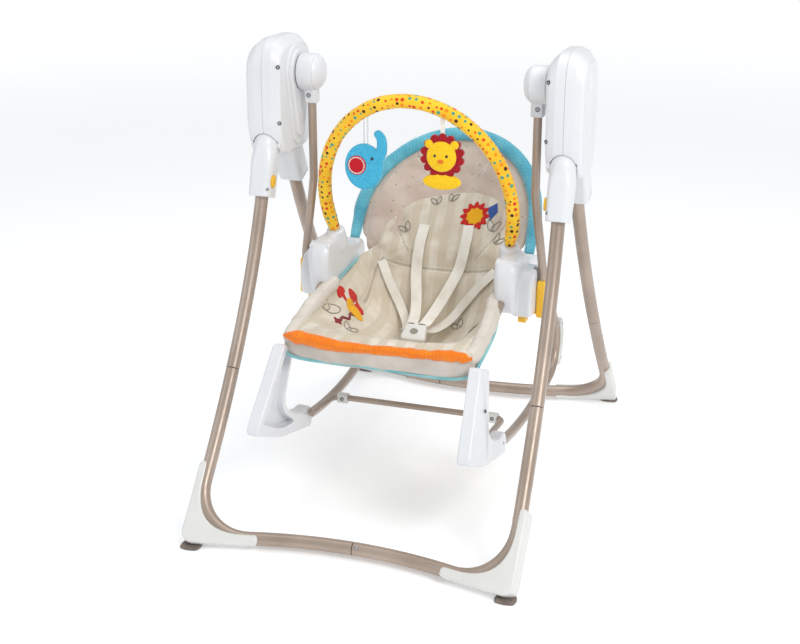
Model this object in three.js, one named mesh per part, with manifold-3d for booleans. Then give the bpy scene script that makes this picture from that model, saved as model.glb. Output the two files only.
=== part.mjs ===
// Baby swing with a lift-out rocker seat, as an assembly of separate pieces.
// Millimetres, +Z up. The seat faces -Y, "left" pieces are on the -X side, and the feet stand on z = 0.
// While the pieces are made, y = 0 is the plane of the swing arms. The finished group is then moved
// so that its origin is on the floor at the middle of its box.
import * as THREE from "three";
import { mergeVertices } from "three/addons/utils/BufferGeometryUtils.js";
import Module from "manifold-3d";

const wasm = await Module();
wasm.setup();

// ---------------------------------------------------------------- driving dimensions
const GAP = 0.3; // between pieces that touch
const SEAM_GAP = 1.2; // between tube ends that meet at a seam
const ARC_STEPS = 3; // segments in each rounded corner

const LEG_TUBE = { outer: 12.5, inner: 11 };
const ARM_TUBE = { outer: 8, inner: 6.8 };
const RAIL_TUBE = { outer: 9.3, inner: 8 };
const SEAT_TUBE = { outer: 8, inner: 6.8 };
const KICKSTAND_TUBE = { outer: 6, inner: 4.8 };

// Stand: each leg is one smooth bend in side view, from its socket to the foot corner.
const LEG_TOP_X = 286;
const LEG_FOOT_X = 297;
const CROSSBAR_Z = 19;
const SOCKET_Z = 575;
const FRONT_LEG = { top: [-98, SOCKET_Z], bend: [-178, 317], foot: [-437, CROSSBAR_Z] };
const REAR_LEG = { top: [60, SOCKET_Z], bend: [191, 313], foot: [484, CROSSBAR_Z] };
const LEG_SEAM = 0.56; // share of the bend where the upper tube meets the base tube
const LEG_CORNER = 0.86; // share of the bend where the corner into the crossbar begins
const CROSSBAR_CORNER_X = 192;
const CROSSBAR_BOW = { depth: 50, reach: 270 };
const TUBE_INSERT = 40;
const FRONT_JOINT_X = 0;
const REAR_JOINT_X = -90;
const FOOT_PAD = { length: 38, width: 32, height: 6 };
const COVER_THICKNESS = 34;
const COVER_INNER = 126; // from the corner, along the crossbar
const COVER_TOP = 138; // and up the leg

// Fold joint of the front legs, on the line of the leg's top end.
const FOLD_PIVOT = [-70.4, 664];
const FOLD_ANGLE = 42;
const FRONT_LEAN = 17.2;
const SOCKET = { half: 25, length: 98, head: 26, inner: 262.2, outer: 309.8 };
const PIVOT_PIN = 6;
const BUTTON = { along: -68, across: -8, length: 24, width: 14, height: 8.5, proud: 3, travel: 2.5 };

// Motor and bearing housings.
const HOUSING = { inner: 252, outer: 320, split: 286, wall: 3, bevel: 11 };
const HUB_Z = 795;
const AXLE_RADIUS = 6;
const BEARING_BOSS = { face: 241.5, radius: 43, tip: 14, bottom: 668 };
const SECTOR = { teeth: 48, kept: 9, module: 1.5, from: 262, to: 268 };
const PINION = { teeth: 12, from: 261, to: 269 };
const KNOB = { radius: 19, from: 309, to: 319.5 };
const CELL = { radius: 13, length: 50, from: 261.5, firstY: -20, z: 714 };
const SOUND_SLOT = { y: 0, z: 750, length: 20, height: 8 };
const BATTERY_DOOR = { low: [-26, 676], high: [58, 724] };

// Swing arms and seat hangers.
const HUB = { inner: 194, outer: 239.5, radius: 35 };
const ARM_X = 220;
const ARM_FOOT_X = 240;
const HANGER = { inner: 231.8, outer: 247, half: 18, top: 429, bottom: 357 };
const TONGUE = { inner: 222, half: 13, top: 415 };

// Seat, rocker and recliner.
const POD = { inner: 163, waist: 204, outer: 230.8 };
const RECLINE_PIVOT = [108, 418];
const LOBE_RADIUS = 25;
const BACK_LEAN = 35.5;
const BACK_SHOULDER = 86;
const BACK_HALF_WIDTH = 183;
const BACK_ROUND_HEIGHT = 193;
const ROCKER_RADIUS = 1080;
const ROCKER_CENTRE = [60, 1205];
const RAIL_BEND = { y: 238, radius: 62 };
const RAIL_X = { rear: 206, front: 196 };
const RAIL_END_Y = -158;
const SEAT_SIDE_X = 178;
const SEAT_FRONT = [-243, 331];
const ROCKER_FOOT = { x: 196, thickness: 24 };
const KICKSTAND = { x: 176.5, pivot: [-144, 157], bar: [-24, 147], pad: 156 };

// Toy bar and toys.
const TOY_BAR = { radius: 15, halfWidth: 185, rise: 215, shoulder: 71, lean: 16.6, foot: [-6, 493] };
const TOY_PLUG = { radius: 8, length: 20 };

// ---------------------------------------------------------------- materials
const material = (color, roughness, metalness = 0) =>
  new THREE.MeshStandardMaterial({ color, roughness, metalness });
const TAUPE_METAL = material(0x9b8a7e, 0.38, 0.55);
const WHITE_PLASTIC = material(0xeceded, 0.35);
const YELLOW_PLASTIC = material(0xe8b92f, 0.4);
const TAUPE_RUBBER = material(0x8d8078, 0.85);
const BARE_STEEL = material(0xb9bcc0, 0.3, 0.9);
const GEAR_PLASTIC = material(0xe4e0d4, 0.5);
const BLACK_PLASTIC = material(0x2b2c2e, 0.5);
const BOARD_GREEN = material(0x2f6b46, 0.6);
const SEAT_FABRIC = material(0xd8d1c6, 0.95);
const TOY_YELLOW = material(0xf2bd2c, 0.9);
const TOY_BLUE = material(0x35a5c9, 0.9);

// ---------------------------------------------------------------- solids and cuts
const X_AXIS = new THREE.Vector3(1, 0, 0);
const Y_AXIS = new THREE.Vector3(0, 1, 0);
const Z_AXIS = new THREE.Vector3(0, 0, 1);
const radians = THREE.MathUtils.degToRad;

function toSolid(geometry) {
  const bare = geometry.clone();
  bare.deleteAttribute("normal");
  bare.deleteAttribute("uv");
  const merged = mergeVertices(bare, 1e-4);
  return new wasm.Manifold(
    new wasm.Mesh({
      numProp: 3,
      vertProperties: merged.attributes.position.array,
      triVerts: new Uint32Array(merged.index.array),
    }),
  );
}

function toGeometry(solid) {
  const mesh = solid.getMesh();
  const geometry = new THREE.BufferGeometry();
  geometry.setAttribute("position", new THREE.BufferAttribute(mesh.vertProperties, 3));
  geometry.setIndex(new THREE.BufferAttribute(mesh.triVerts, 1));
  return geometry;
}

const join = (...pieces) => toGeometry(pieces.map(toSolid).reduce((whole, piece) => whole.add(piece)));

const cut = (body, ...tools) =>
  toGeometry(tools.map(toSolid).reduce((left, tool) => left.subtract(tool), toSolid(body)));

const common = (body, other) => toGeometry(toSolid(body).intersect(toSolid(other)));

// A block between two opposite corners.
function block(low, high) {
  const size = high.map((value, axis) => value - low[axis]);
  const centre = high.map((value, axis) => (value + low[axis]) / 2);
  return new THREE.BoxGeometry(...size).translate(...centre);
}

// A closed outline through [a, b, trim] corners, each rounded over its trim length.
function outlineOf(corners) {
  const points = corners.map(([a, b]) => new THREE.Vector2(a, b));
  const outline = new THREE.Shape();
  corners.forEach(([, , trim], i) => {
    const corner = points[i];
    const before = points.at(i - 1).clone().sub(corner).setLength(trim).add(corner);
    const after = points[(i + 1) % points.length].clone().sub(corner).setLength(trim).add(corner);
    if (i === 0) outline.moveTo(before.x, before.y);
    else outline.lineTo(before.x, before.y);
    outline.quadraticCurveTo(corner.x, corner.y, after.x, after.y);
  });
  outline.closePath();
  return outline;
}

// An outline pushed through from depth 0, in its own plane. A bevel keeps it inside its outline.
function slab(outline, depth, bevel = 0, inset = 0) {
  return new THREE.ExtrudeGeometry(outline, {
    depth: depth - 2 * bevel,
    curveSegments: ARC_STEPS,
    bevelEnabled: bevel > 0,
    bevelThickness: bevel,
    bevelSize: bevel,
    bevelOffset: -bevel - inset,
    bevelSegments: 1,
  }).translate(0, 0, bevel);
}

// A side-view outline, in Y and Z, pushed through from one x to another.
function acrossX(outline, from, to, bevel = 0, inset = 0) {
  const sideView = new THREE.Matrix4().makeBasis(Y_AXIS, Z_AXIS, X_AXIS);
  return slab(outline, to - from, bevel, inset).applyMatrix4(sideView).translate(from, 0, 0);
}

// A round bar between two points.
function bar(from, to, radius, sides = 12) {
  const start = new THREE.Vector3(...from);
  const run = new THREE.Vector3(...to).sub(start);
  const turn = new THREE.Quaternion().setFromUnitVectors(Y_AXIS, run.clone().normalize());
  const middle = start.addScaledVector(run, 0.5);
  return new THREE.CylinderGeometry(radius, radius, run.length(), sides)
    .applyQuaternion(turn)
    .translate(middle.x, middle.y, middle.z);
}

// A path that runs straight between chosen stations and counts stations, not length.
class StationPath extends THREE.Curve {
  constructor(stations) {
    super();
    this.stations = stations;
  }
  get spans() {
    return this.stations.length - 1;
  }
  getPoint(share, target = new THREE.Vector3()) {
    const place = Math.min(Math.max(share, 0), 1) * this.spans;
    const span = Math.min(Math.floor(place), this.spans - 1);
    return target.lerpVectors(this.stations[span], this.stations[span + 1], place - span);
  }
  getPointAt(share, target) {
    return this.getPoint(share, target);
  }
  getTangentAt(share, target) {
    return this.getTangent(share, target);
  }
}

// A tube along stations; without an inner radius it is a solid bar.
function tube(stations, outer, inner = 0, sides = 10) {
  const section = new THREE.Shape().absarc(0, 0, outer, 0, 2 * Math.PI);
  if (inner > 0) section.holes.push(new THREE.Path().absarc(0, 0, inner, 0, 2 * Math.PI, true));
  const path = new StationPath(stations);
  return new THREE.ExtrudeGeometry(section, {
    steps: path.spans,
    curveSegments: sides / 2,
    bevelEnabled: false,
    extrudePath: path,
  });
}

// Stations along straight runs whose corners are rounded to a radius.
function roundedRoute(corners, radius, steps = 5) {
  const points = corners.map((corner) => new THREE.Vector3(...corner));
  const stations = [points[0]];
  points.slice(1, -1).forEach((corner, i) => {
    const back = points[i].clone().sub(corner).normalize();
    const ahead = points[i + 2].clone().sub(corner).normalize();
    const half = back.angleTo(ahead) / 2;
    const reach = radius / Math.tan(half);
    const start = corner.clone().addScaledVector(back, reach);
    const end = corner.clone().addScaledVector(ahead, reach);
    const pull = (4 / 3) * Math.tan((Math.PI / 2 - half) / 2) * radius;
    const arc = new THREE.CubicBezierCurve3(
      start,
      start.clone().addScaledVector(back, -pull),
      end.clone().addScaledVector(ahead, -pull),
      end,
    );
    stations.push(...arc.getPoints(steps));
  });
  stations.push(points.at(-1));
  return stations;
}

// ---------------------------------------------------------------- the assembly's groups
const object = new THREE.Group();

function add(name, geometry, look, mirrored = false) {
  const mesh = new THREE.Mesh(geometry, look);
  mesh.name = name;
  if (mirrored) mesh.scale.x = -1;
  object.add(mesh);
  return mesh;
}

// A piece made for the right side and its mirror image on the left.
function addPair(name, geometry, look) {
  add(name + "_right", geometry, look);
  add(name + "_left", geometry, look, true);
}

// ---------------------------------------------------------------- stand
// A point of a leg: share 0 is its socket, share 1 the foot corner.
function legPoint(leg, share) {
  const side = new THREE.QuadraticBezierCurve(
    new THREE.Vector2(...leg.top),
    new THREE.Vector2(...leg.bend),
    new THREE.Vector2(...leg.foot),
  ).getPoint(share);
  const drop = (SOCKET_Z - side.y) / (SOCKET_Z - CROSSBAR_Z);
  return new THREE.Vector3(THREE.MathUtils.lerp(LEG_TOP_X, LEG_FOOT_X, drop), side.x, side.y);
}

// The direction up the leg at its foot, in Y and Z.
function footSlope(leg) {
  return new THREE.Vector2(...leg.bend).sub(new THREE.Vector2(...leg.foot)).normalize();
}

// The straight top end of a leg, held in its socket: from the mouth to the tip.
function legEnd(leg, margin = 0) {
  const mouth = legPoint(leg, 0);
  const up = mouth.clone().sub(legPoint(leg, 0.02)).normalize();
  const tip = mouth.clone().addScaledVector(up, TUBE_INSERT + margin);
  return [mouth.addScaledVector(up, -4 * margin), tip];
}

function legBore(leg) {
  const [mouth, tip] = legEnd(leg, 3);
  return bar(mouth.toArray(), tip.toArray(), LEG_TUBE.outer + 2 * GAP, 16);
}

function upperTube(leg) {
  const stations = [0.14, 0.28, 0.42].map((share) => legPoint(leg, share));
  const [mouth, tip] = legEnd(leg);
  const end = legPoint(leg, LEG_SEAM).addScaledVector(Z_AXIS, SEAM_GAP);
  return tube([tip, mouth, ...stations, end], LEG_TUBE.outer, LEG_TUBE.inner);
}

// The crossbar lies level and bows inwards, under the seat.
function crossbarPoint(leg, x) {
  const { depth, reach } = CROSSBAR_BOW;
  const bow = depth * (1 - (x / reach) ** 2);
  return new THREE.Vector3(x, leg.foot[0] - Math.sign(leg.foot[0]) * bow, CROSSBAR_Z);
}

// The corner where the leg and the crossbar would meet if it weren't rounded.
function footCorner(leg) {
  return crossbarPoint(leg, LEG_FOOT_X - 27).setX(LEG_FOOT_X);
}

// Half of a base: down the leg, round the corner and along the crossbar to the joint.
function baseStations(leg, jointX) {
  const legShares = [LEG_SEAM, 0.66, 0.76];
  const cornerStart = legPoint(leg, LEG_CORNER);
  const corner = footCorner(leg);
  const cornerEnd = crossbarPoint(leg, CROSSBAR_CORNER_X);
  const arc = new THREE.CubicBezierCurve3(
    cornerStart,
    cornerStart.clone().lerp(corner, 0.55),
    cornerEnd.clone().lerp(corner, 0.55),
    cornerEnd,
  );
  const run = jointX - CROSSBAR_CORNER_X;
  const steps = Math.max(2, Math.round(-run / 75));
  const crossbar = Array.from({ length: steps }, (_, i) =>
    crossbarPoint(leg, CROSSBAR_CORNER_X + (run * (i + 1)) / steps),
  );
  return [...legShares.map((share) => legPoint(leg, share)), ...arc.getPoints(5), ...crossbar];
}

// A gusset in the plane of the foot corner, grooved for the tube and flat underneath.
function footCover(leg) {
  const corner = footCorner(leg);
  const inward = crossbarPoint(leg, CROSSBAR_CORNER_X).sub(corner).normalize();
  const slope = footSlope(leg);
  const upLeg = new THREE.Vector3(0, slope.x, slope.y);
  const through = inward.clone().cross(upLeg).normalize();
  const across = through.clone().cross(inward);
  const lean = COVER_TOP * Math.tan(Math.PI / 2 - inward.angleTo(upLeg));
  const outline = outlineOf([
    [COVER_INNER, -14, 7],
    [-17, -14, 26],
    [lean - 15, COVER_TOP, 7],
    [lean + 1, COVER_TOP, 7],
    [1, 4, 100],
    [COVER_INNER, 4, 7],
  ]);
  const plane = new THREE.Matrix4().makeBasis(inward, across, through).setPosition(corner);
  const plate = slab(outline, COVER_THICKNESS, 4).translate(0, 0, -COVER_THICKNESS / 2).applyMatrix4(plane);
  const groove = tube(baseStations(leg, FRONT_JOINT_X), LEG_TUBE.outer + GAP);
  const y = leg.foot[0];
  const underneath = block([100, y - 100, -50], [400, y + 100, FOOT_PAD.height + GAP]);
  return cut(plate, groove, underneath);
}

function footPad(leg) {
  const { length, width, height } = FOOT_PAD;
  const outline = outlineOf([
    [-length / 2, -width / 2, 9],
    [length / 2, -width / 2, 9],
    [length / 2, width / 2, 9],
    [-length / 2, width / 2, 9],
  ]);
  const outward = 4 * Math.sign(leg.foot[0]);
  return slab(outline, height, 1.5).translate(LEG_FOOT_X - 3, leg.foot[0] + outward, 0);
}

function addStand() {
  const looks = [
    ["front", FRONT_LEG, FRONT_JOINT_X, FRONT_JOINT_X],
    ["rear", REAR_LEG, REAR_JOINT_X, -REAR_JOINT_X],
  ];
  for (const [name, leg, rightJoint, leftJoint] of looks) {
    addPair(name + "_upper_tube", upperTube(leg), TAUPE_METAL);
    const right = baseStations(leg, rightJoint + SEAM_GAP);
    const left = baseStations(leg, leftJoint + SEAM_GAP);
    add(name + "_base_tube_right", tube(right, LEG_TUBE.outer, LEG_TUBE.inner), TAUPE_METAL);
    add(name + "_base_tube_left", tube(left, LEG_TUBE.outer, LEG_TUBE.inner), TAUPE_METAL, true);
    addPair(name + "_foot_cover", footCover(leg), WHITE_PLASTIC);
    addPair(name + "_foot_pad", footPad(leg), TAUPE_RUBBER);
  }
}

// ---------------------------------------------------------------- fold joint
// Turns a shape made upright under the fold pivot to the lean of the front leg.
function leanWithLeg(geometry) {
  return geometry.rotateX(radians(-FRONT_LEAN)).translate(0, ...FOLD_PIVOT);
}

function legSocket() {
  const { half, length, head, inner, outer } = SOCKET;
  const outline = new THREE.Shape()
    .moveTo(-half + 10, -length)
    .lineTo(half - 10, -length)
    .quadraticCurveTo(half, -length, half, 10 - length)
    .lineTo(head, 0)
    .absarc(0, 0, head, 0, Math.PI)
    .lineTo(-half, 10 - length)
    .quadraticCurveTo(-half, -length, 10 - half, -length);
  const body = acrossX(outline, inner, outer, 5);
  const pinBore = bar([inner - 5, 0, 0], [outer + 5, 0, 0], PIVOT_PIN + GAP);
  const pocket = acrossX(buttonOutline(GAP), inner - 10, inner + BUTTON.height - BUTTON.proud + BUTTON.travel + GAP);
  return cut(leanWithLeg(cut(body, pinBore, pocket)), legBore(FRONT_LEG));
}

function buttonOutline(margin) {
  const { along, across } = BUTTON;
  const width = BUTTON.width / 2 + margin;
  const length = BUTTON.length / 2 + margin;
  return new THREE.Shape().absellipse(across, along, width, length, 0, 2 * Math.PI);
}

function foldButton() {
  const from = SOCKET.inner - BUTTON.proud;
  return leanWithLeg(acrossX(buttonOutline(0), from, from + BUTTON.height, 1.2));
}

function addFoldJoint() {
  addPair("front_leg_socket", legSocket(), WHITE_PLASTIC);
  addPair("fold_button", foldButton(), YELLOW_PLASTIC);
}

// ---------------------------------------------------------------- housings
const CASING_OUTLINE = outlineOf([
  [-86, 863, 62],
  [-87, 694, 28],
  [-66, 640, 20],
  [56, 640, 20],
  [82, 690, 30],
  [82, 863, 62],
]);
const CASING_ROOM = outlineOf([
  [-86, 863, 62],
  [-87, 694, 18],
  [82, 694, 18],
  [82, 863, 62],
]);
const REAR_SOCKET_OUTLINE = outlineOf([
  [-7, 662, 9],
  [40, 567, 9],
  [79, 586, 9],
  [38, 670, 14],
  [6, 686, 12],
]);

// The room that the front socket sweeps between locked and folded.
function socketSweep() {
  const pivot = new THREE.Vector2(...FOLD_PIVOT);
  const reach = 140;
  const half = SOCKET.head + 1;
  const [open, folded] = [-FRONT_LEAN, FOLD_ANGLE - FRONT_LEAN].map(radians);
  const down = (angle) => new THREE.Vector2(Math.sin(angle), -Math.cos(angle));
  const side = (angle) => new THREE.Vector2(Math.cos(angle), Math.sin(angle));
  const front = pivot.clone().addScaledVector(side(open), -half);
  const rear = pivot.clone().addScaledVector(side(folded), half);
  const wedge = new THREE.Shape([
    front,
    front.clone().addScaledVector(down(open), reach),
    rear.clone().addScaledVector(down(folded), reach),
    rear,
  ]);
  const from = SOCKET.inner - 0.8;
  const to = SOCKET.outer + 0.8;
  const head = bar([from, ...FOLD_PIVOT], [to, ...FOLD_PIVOT], half, 24);
  return join(acrossX(wedge, from, to), head);
}

function housingWalls() {
  const { inner, outer, wall, bevel } = HOUSING;
  const casing = acrossX(CASING_OUTLINE, inner, outer, bevel);
  const room = acrossX(CASING_ROOM, inner + wall, outer - wall, bevel - wall, wall);
  const rearSocket = acrossX(REAR_SOCKET_OUTLINE, inner + 8, outer - 8, 5);
  return cut(join(casing, rearSocket), room, legBore(REAR_LEG), socketSweep());
}

function outerShell(walls) {
  return common(walls, block([HOUSING.split + GAP / 2, -200, 500], [400, 200, 900]));
}

function innerShell(walls) {
  const half = common(walls, block([200, -200, 500], [HOUSING.split - GAP / 2, 200, 900]));
  const { face, radius, tip, bottom } = BEARING_BOSS;
  const drop = new THREE.Shape()
    .moveTo(-tip, bottom + 6)
    .quadraticCurveTo(0, bottom - 6, tip, bottom + 6)
    .lineTo(radius, HUB_Z - 12)
    .absarc(0, HUB_Z, radius, 0, Math.PI)
    .lineTo(-radius, HUB_Z - 12);
  const boss = acrossX(drop, face, HOUSING.inner + HOUSING.wall, 3);
  const pin = bar([HOUSING.inner + 4, ...FOLD_PIVOT], [SOCKET.outer + 0.5, ...FOLD_PIVOT], PIVOT_PIN);
  const bore = bar([face - 5, 0, HUB_Z], [HOUSING.inner + 10, 0, HUB_Z], AXLE_RADIUS + GAP);
  return cut(join(half, boss, pin), bore);
}

// A toothed arc: each tooth is a short trapezoid about the pitch circle.
function toothedArc(outline, pitchRadius, teeth, count, centreAngle, module) {
  const pitch = (2 * Math.PI) / teeth;
  const [root, tip] = [pitchRadius - 1.2 * module, pitchRadius + 0.85 * module];
  for (let i = 0; i < count; i += 1) {
    const middle = centreAngle + (i - (count - 1) / 2) * pitch;
    const corners = [
      [root, -0.3],
      [tip, -0.1],
      [tip, 0.1],
      [root, 0.3],
    ];
    for (const [radius, share] of corners) {
      const angle = middle + share * pitch;
      outline.lineTo(radius * Math.cos(angle), radius * Math.sin(angle));
    }
  }
}

// The toothed quadrant on the axle hangs down and meets the pinion straight below.
function driveSector() {
  const { teeth, kept, module, from, to } = SECTOR;
  const outline = new THREE.Shape().moveTo(-13, 3);
  toothedArc(outline, (teeth * module) / 2, teeth, kept, -Math.PI / 2, module);
  outline.lineTo(13, 3);
  outline.absarc(0, 3, 13, 0, Math.PI);
  const axleBore = bar([from - 5, 0, HUB_Z], [to + 5, 0, HUB_Z], AXLE_RADIUS + GAP);
  return cut(acrossX(outline, from, to).translate(0, 0, HUB_Z), axleBore);
}

const PINION_Z = HUB_Z - ((SECTOR.teeth + PINION.teeth) * SECTOR.module) / 2;

function pinion() {
  const { teeth, from, to } = PINION;
  const outline = new THREE.Shape();
  toothedArc(outline, (teeth * SECTOR.module) / 2, teeth, teeth, Math.PI / 2, SECTOR.module);
  outline.closePath();
  const gear = acrossX(outline, from, to).translate(0, 0, PINION_Z);
  return join(gear, bar([to - 2, 0, PINION_Z], [to + 12, 0, PINION_Z], 2.5, 8));
}

function motor() {
  const from = PINION.to + 3;
  const can = bar([from, 0, PINION_Z], [from + 36, 0, PINION_Z], 15, 16);
  return cut(can, bar([from - 5, 0, PINION_Z], [from + 12, 0, PINION_Z], 2.5 + GAP, 8));
}

// Four standard C cells side by side, in one sleeve.
function batteryPack() {
  const { radius, length, from, firstY, z } = CELL;
  const cells = [0, 1, 2, 3].map((i) => {
    const y = firstY + i * (2 * radius - 1);
    return bar([from, y, z], [from + length, y, z], radius, 12);
  });
  return join(...cells);
}

function speedKnob() {
  const { radius, from, to } = KNOB;
  const grip = bar([from, 0, HUB_Z], [to - 3, 0, HUB_Z], radius, 24);
  const ridge = block([to - 4, -3, HUB_Z - 16], [to, 3, HUB_Z + 16]);
  return join(grip, ridge);
}

function soundSwitch() {
  const { y, z, height } = SOUND_SLOT;
  return block([HOUSING.outer - 8, y - 6, z - height / 2], [HOUSING.outer - 0.5, y + 6, z + height / 2]);
}

function doorOutline(margin) {
  const { low, high } = BATTERY_DOOR;
  return outlineOf([
    [low[0] - margin, low[1] - margin, 6],
    [high[0] + margin, low[1] - margin, 6],
    [high[0] + margin, high[1] + margin, 6],
    [low[0] - margin, high[1] + margin, 6],
  ]);
}

function batteryDoor() {
  return acrossX(doorOutline(0), HOUSING.outer - HOUSING.wall, HOUSING.outer - 0.2);
}

// The motor side's outer shell has a well for the knob, a slot for the switch and a battery opening.
function controlShell(shell) {
  const well = bar([KNOB.from - 3.5, 0, HUB_Z], [HOUSING.outer - 1, 0, HUB_Z], KNOB.radius + 4, 24);
  const knobRoom = bar([KNOB.from - GAP, 0, HUB_Z], [HOUSING.outer + 5, 0, HUB_Z], KNOB.radius + 1, 24);
  const { y, z, length, height } = SOUND_SLOT;
  const slotLow = [HOUSING.outer - 12, y - length / 2, z - height / 2 - GAP];
  const slotHigh = [HOUSING.outer + 5, y + length / 2, z + height / 2 + GAP];
  const opening = acrossX(doorOutline(GAP), HOUSING.outer - 12, HOUSING.outer + 5);
  return cut(join(shell, well), knobRoom, block(slotLow, slotHigh), opening);
}

function addHousings() {
  const walls = housingWalls();
  const shell = outerShell(walls);
  add("housing_outer_shell_right", shell, WHITE_PLASTIC);
  add("housing_outer_shell_left", controlShell(shell), WHITE_PLASTIC, true);
  addPair("housing_inner_shell", innerShell(walls), WHITE_PLASTIC);
  const board = block([302, -60, 772], [303.6, 55, 845]);
  const leftPieces = [
    ["drive_sector", driveSector(), GEAR_PLASTIC],
    ["motor_pinion", pinion(), GEAR_PLASTIC],
    ["motor", motor(), BARE_STEEL],
    ["battery_pack", batteryPack(), BLACK_PLASTIC],
    ["battery_door", batteryDoor(), WHITE_PLASTIC],
    ["circuit_board", board, BOARD_GREEN],
    ["speaker", bar([255.4, -4, 724], [260.4, -4, 724], 17, 16), BLACK_PLASTIC],
    ["speed_knob", speedKnob(), WHITE_PLASTIC],
    ["sound_switch", soundSwitch(), YELLOW_PLASTIC],
  ];
  for (const [name, geometry, look] of leftPieces) add(name, geometry, look, true);
}

// ---------------------------------------------------------------- swing arms
function hub() {
  const { inner, outer, radius } = HUB;
  const profile = [
    [0, inner],
    [16, inner + 1],
    [27, inner + 6],
    [33, inner + 13],
    [radius, inner + 21],
    [radius, outer - 3],
    [radius - 3, outer],
    [0, outer],
  ].map(([r, x]) => new THREE.Vector2(r, x));
  const dome = new THREE.LatheGeometry(profile, 16).rotateZ(-Math.PI / 2).translate(0, 0, HUB_Z);
  const collarOutline = outlineOf([
    [ARM_X - 12, -13, 6],
    [ARM_X + 12, -13, 6],
    [ARM_X + 12, 13, 6],
    [ARM_X - 12, 13, 6],
  ]);
  const collar = slab(collarOutline, 45, 2).translate(0, 0, 737);
  const axleBore = bar([inner + 16, 0, HUB_Z], [outer + 5, 0, HUB_Z], AXLE_RADIUS + GAP);
  const armBore = bar([ARM_X, 0, 730], [ARM_X, 0, 768 + GAP], ARM_TUBE.outer + GAP, 16);
  return cut(join(dome, collar), axleBore, armBore);
}

function swingArm() {
  const route = roundedRoute(
    [
      [ARM_X, 0, 768],
      [ARM_X, 0, 590],
      [ARM_FOOT_X, 0, 440],
      [ARM_FOOT_X, 0, 400],
    ],
    120,
    2,
  );
  return tube(route, ARM_TUBE.outer, ARM_TUBE.inner);
}

function hanger() {
  const { inner, outer, half, top, bottom } = HANGER;
  const outline = outlineOf([
    [-half, bottom, 8],
    [half, bottom, 8],
    [half - 4, top, 6],
    [4 - half, top, 6],
  ]);
  const plate = acrossX(outline, inner, outer, 2);
  const tongue = block([TONGUE.inner, -TONGUE.half, bottom + 6], [inner + 3, TONGUE.half, TONGUE.top]);
  const armBore = bar([ARM_FOOT_X, 0, 400 - GAP], [ARM_FOOT_X, 0, top + 5], ARM_TUBE.outer + GAP, 16);
  return cut(join(plate, tongue), armBore);
}

function addSwing() {
  addPair("hub", hub(), WHITE_PLASTIC);
  addPair("axle", bar([HUB.inner + 16.5, 0, HUB_Z], [296, 0, HUB_Z], AXLE_RADIUS), BARE_STEEL);
  addPair("swing_arm", swingArm(), TAUPE_METAL);
  addPair("hanger", hanger(), YELLOW_PLASTIC);
}

// ---------------------------------------------------------------- seat
// Pod: the moulding that hangs on the hanger and carries rail, seat frame, back and toy bar. The slot for
// the hanger's tongue narrows above it to a channel, which lets the pod rise past the arm.
function pod() {
  const hangerSide = outlineOf([
    [-52, 366, 12],
    [40, 366, 12],
    [54, 404, 20],
    [38, 450, 20],
    [-34, 452, 20],
    [-60, 418, 20],
  ]);
  const seatSide = outlineOf([
    [-64, 373, 14],
    [8, 377, 10],
    [70, 394, 10],
    [100, 394, 11],
    [104, 441, 11],
    [40, 452, 16],
    [12, 486, 14],
    [-48, 486, 12],
    [-80, 472, 20],
    [-80, 410, 22],
  ]);
  const lobe = bar([POD.inner, ...RECLINE_PIVOT], [POD.waist, ...RECLINE_PIVOT], LOBE_RADIUS, 16);
  const railEnd = railStations()[0];
  const railSocket = bar([RAIL_X.rear - 7, ...RECLINE_PIVOT], railEnd.toArray(), RAIL_TUBE.outer + 4);
  const body = join(
    acrossX(hangerSide, POD.waist - 12, POD.outer, 6),
    acrossX(seatSide, POD.inner, POD.waist, 7),
    lobe,
    railSocket,
  );
  const slotTop = TONGUE.top + GAP;
  const slotFloor = TONGUE.inner - 0.7;
  const slot = block([slotFloor, -TONGUE.half - 1, 340], [POD.outer + 5, TONGUE.half + 1, slotTop]);
  const armHalf = ARM_TUBE.outer + 1.5;
  const armChannel = block([slotFloor, -armHalf, slotTop - 5], [POD.outer + 5, armHalf, 480]);
  const railBore = tube(railStations().slice(0, 2), RAIL_TUBE.outer + GAP);
  const frameBore = tube(frameStations().slice(0, 2), SEAT_TUBE.outer + GAP);
  const lean = plugDirection();
  const foot = new THREE.Vector3(toyBarPoint(0).x, ...TOY_BAR.foot);
  const plugEnd = foot.clone().addScaledVector(lean, -TOY_PLUG.length - 1);
  const plugBore = bar(foot.toArray(), plugEnd.toArray(), TOY_PLUG.radius + 0.5, 10);
  const buttonBore = acrossX(releaseOutline(GAP), RELEASE.from - GAP, RELEASE.to + GAP);
  return cut(body, slot, armChannel, railBore, frameBore, plugBore, buttonBore);
}

const RELEASE = { from: 204, to: 219, bottom: 354, top: 374, travel: 4 };

function releaseOutline(margin) {
  const top = RELEASE.top + (margin > 0 ? RELEASE.travel + margin : 0);
  return outlineOf([
    [-44 - margin, RELEASE.bottom, 6],
    [-20 + margin, RELEASE.bottom, 6],
    [-20 + margin, top, 2],
    [-44 - margin, top, 2],
  ]);
}

// The rails draw together towards the front.
const railX = (y) => THREE.MathUtils.mapLinear(y, RAIL_BEND.y, RAIL_END_Y, RAIL_X.rear, RAIL_X.front);

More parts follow.
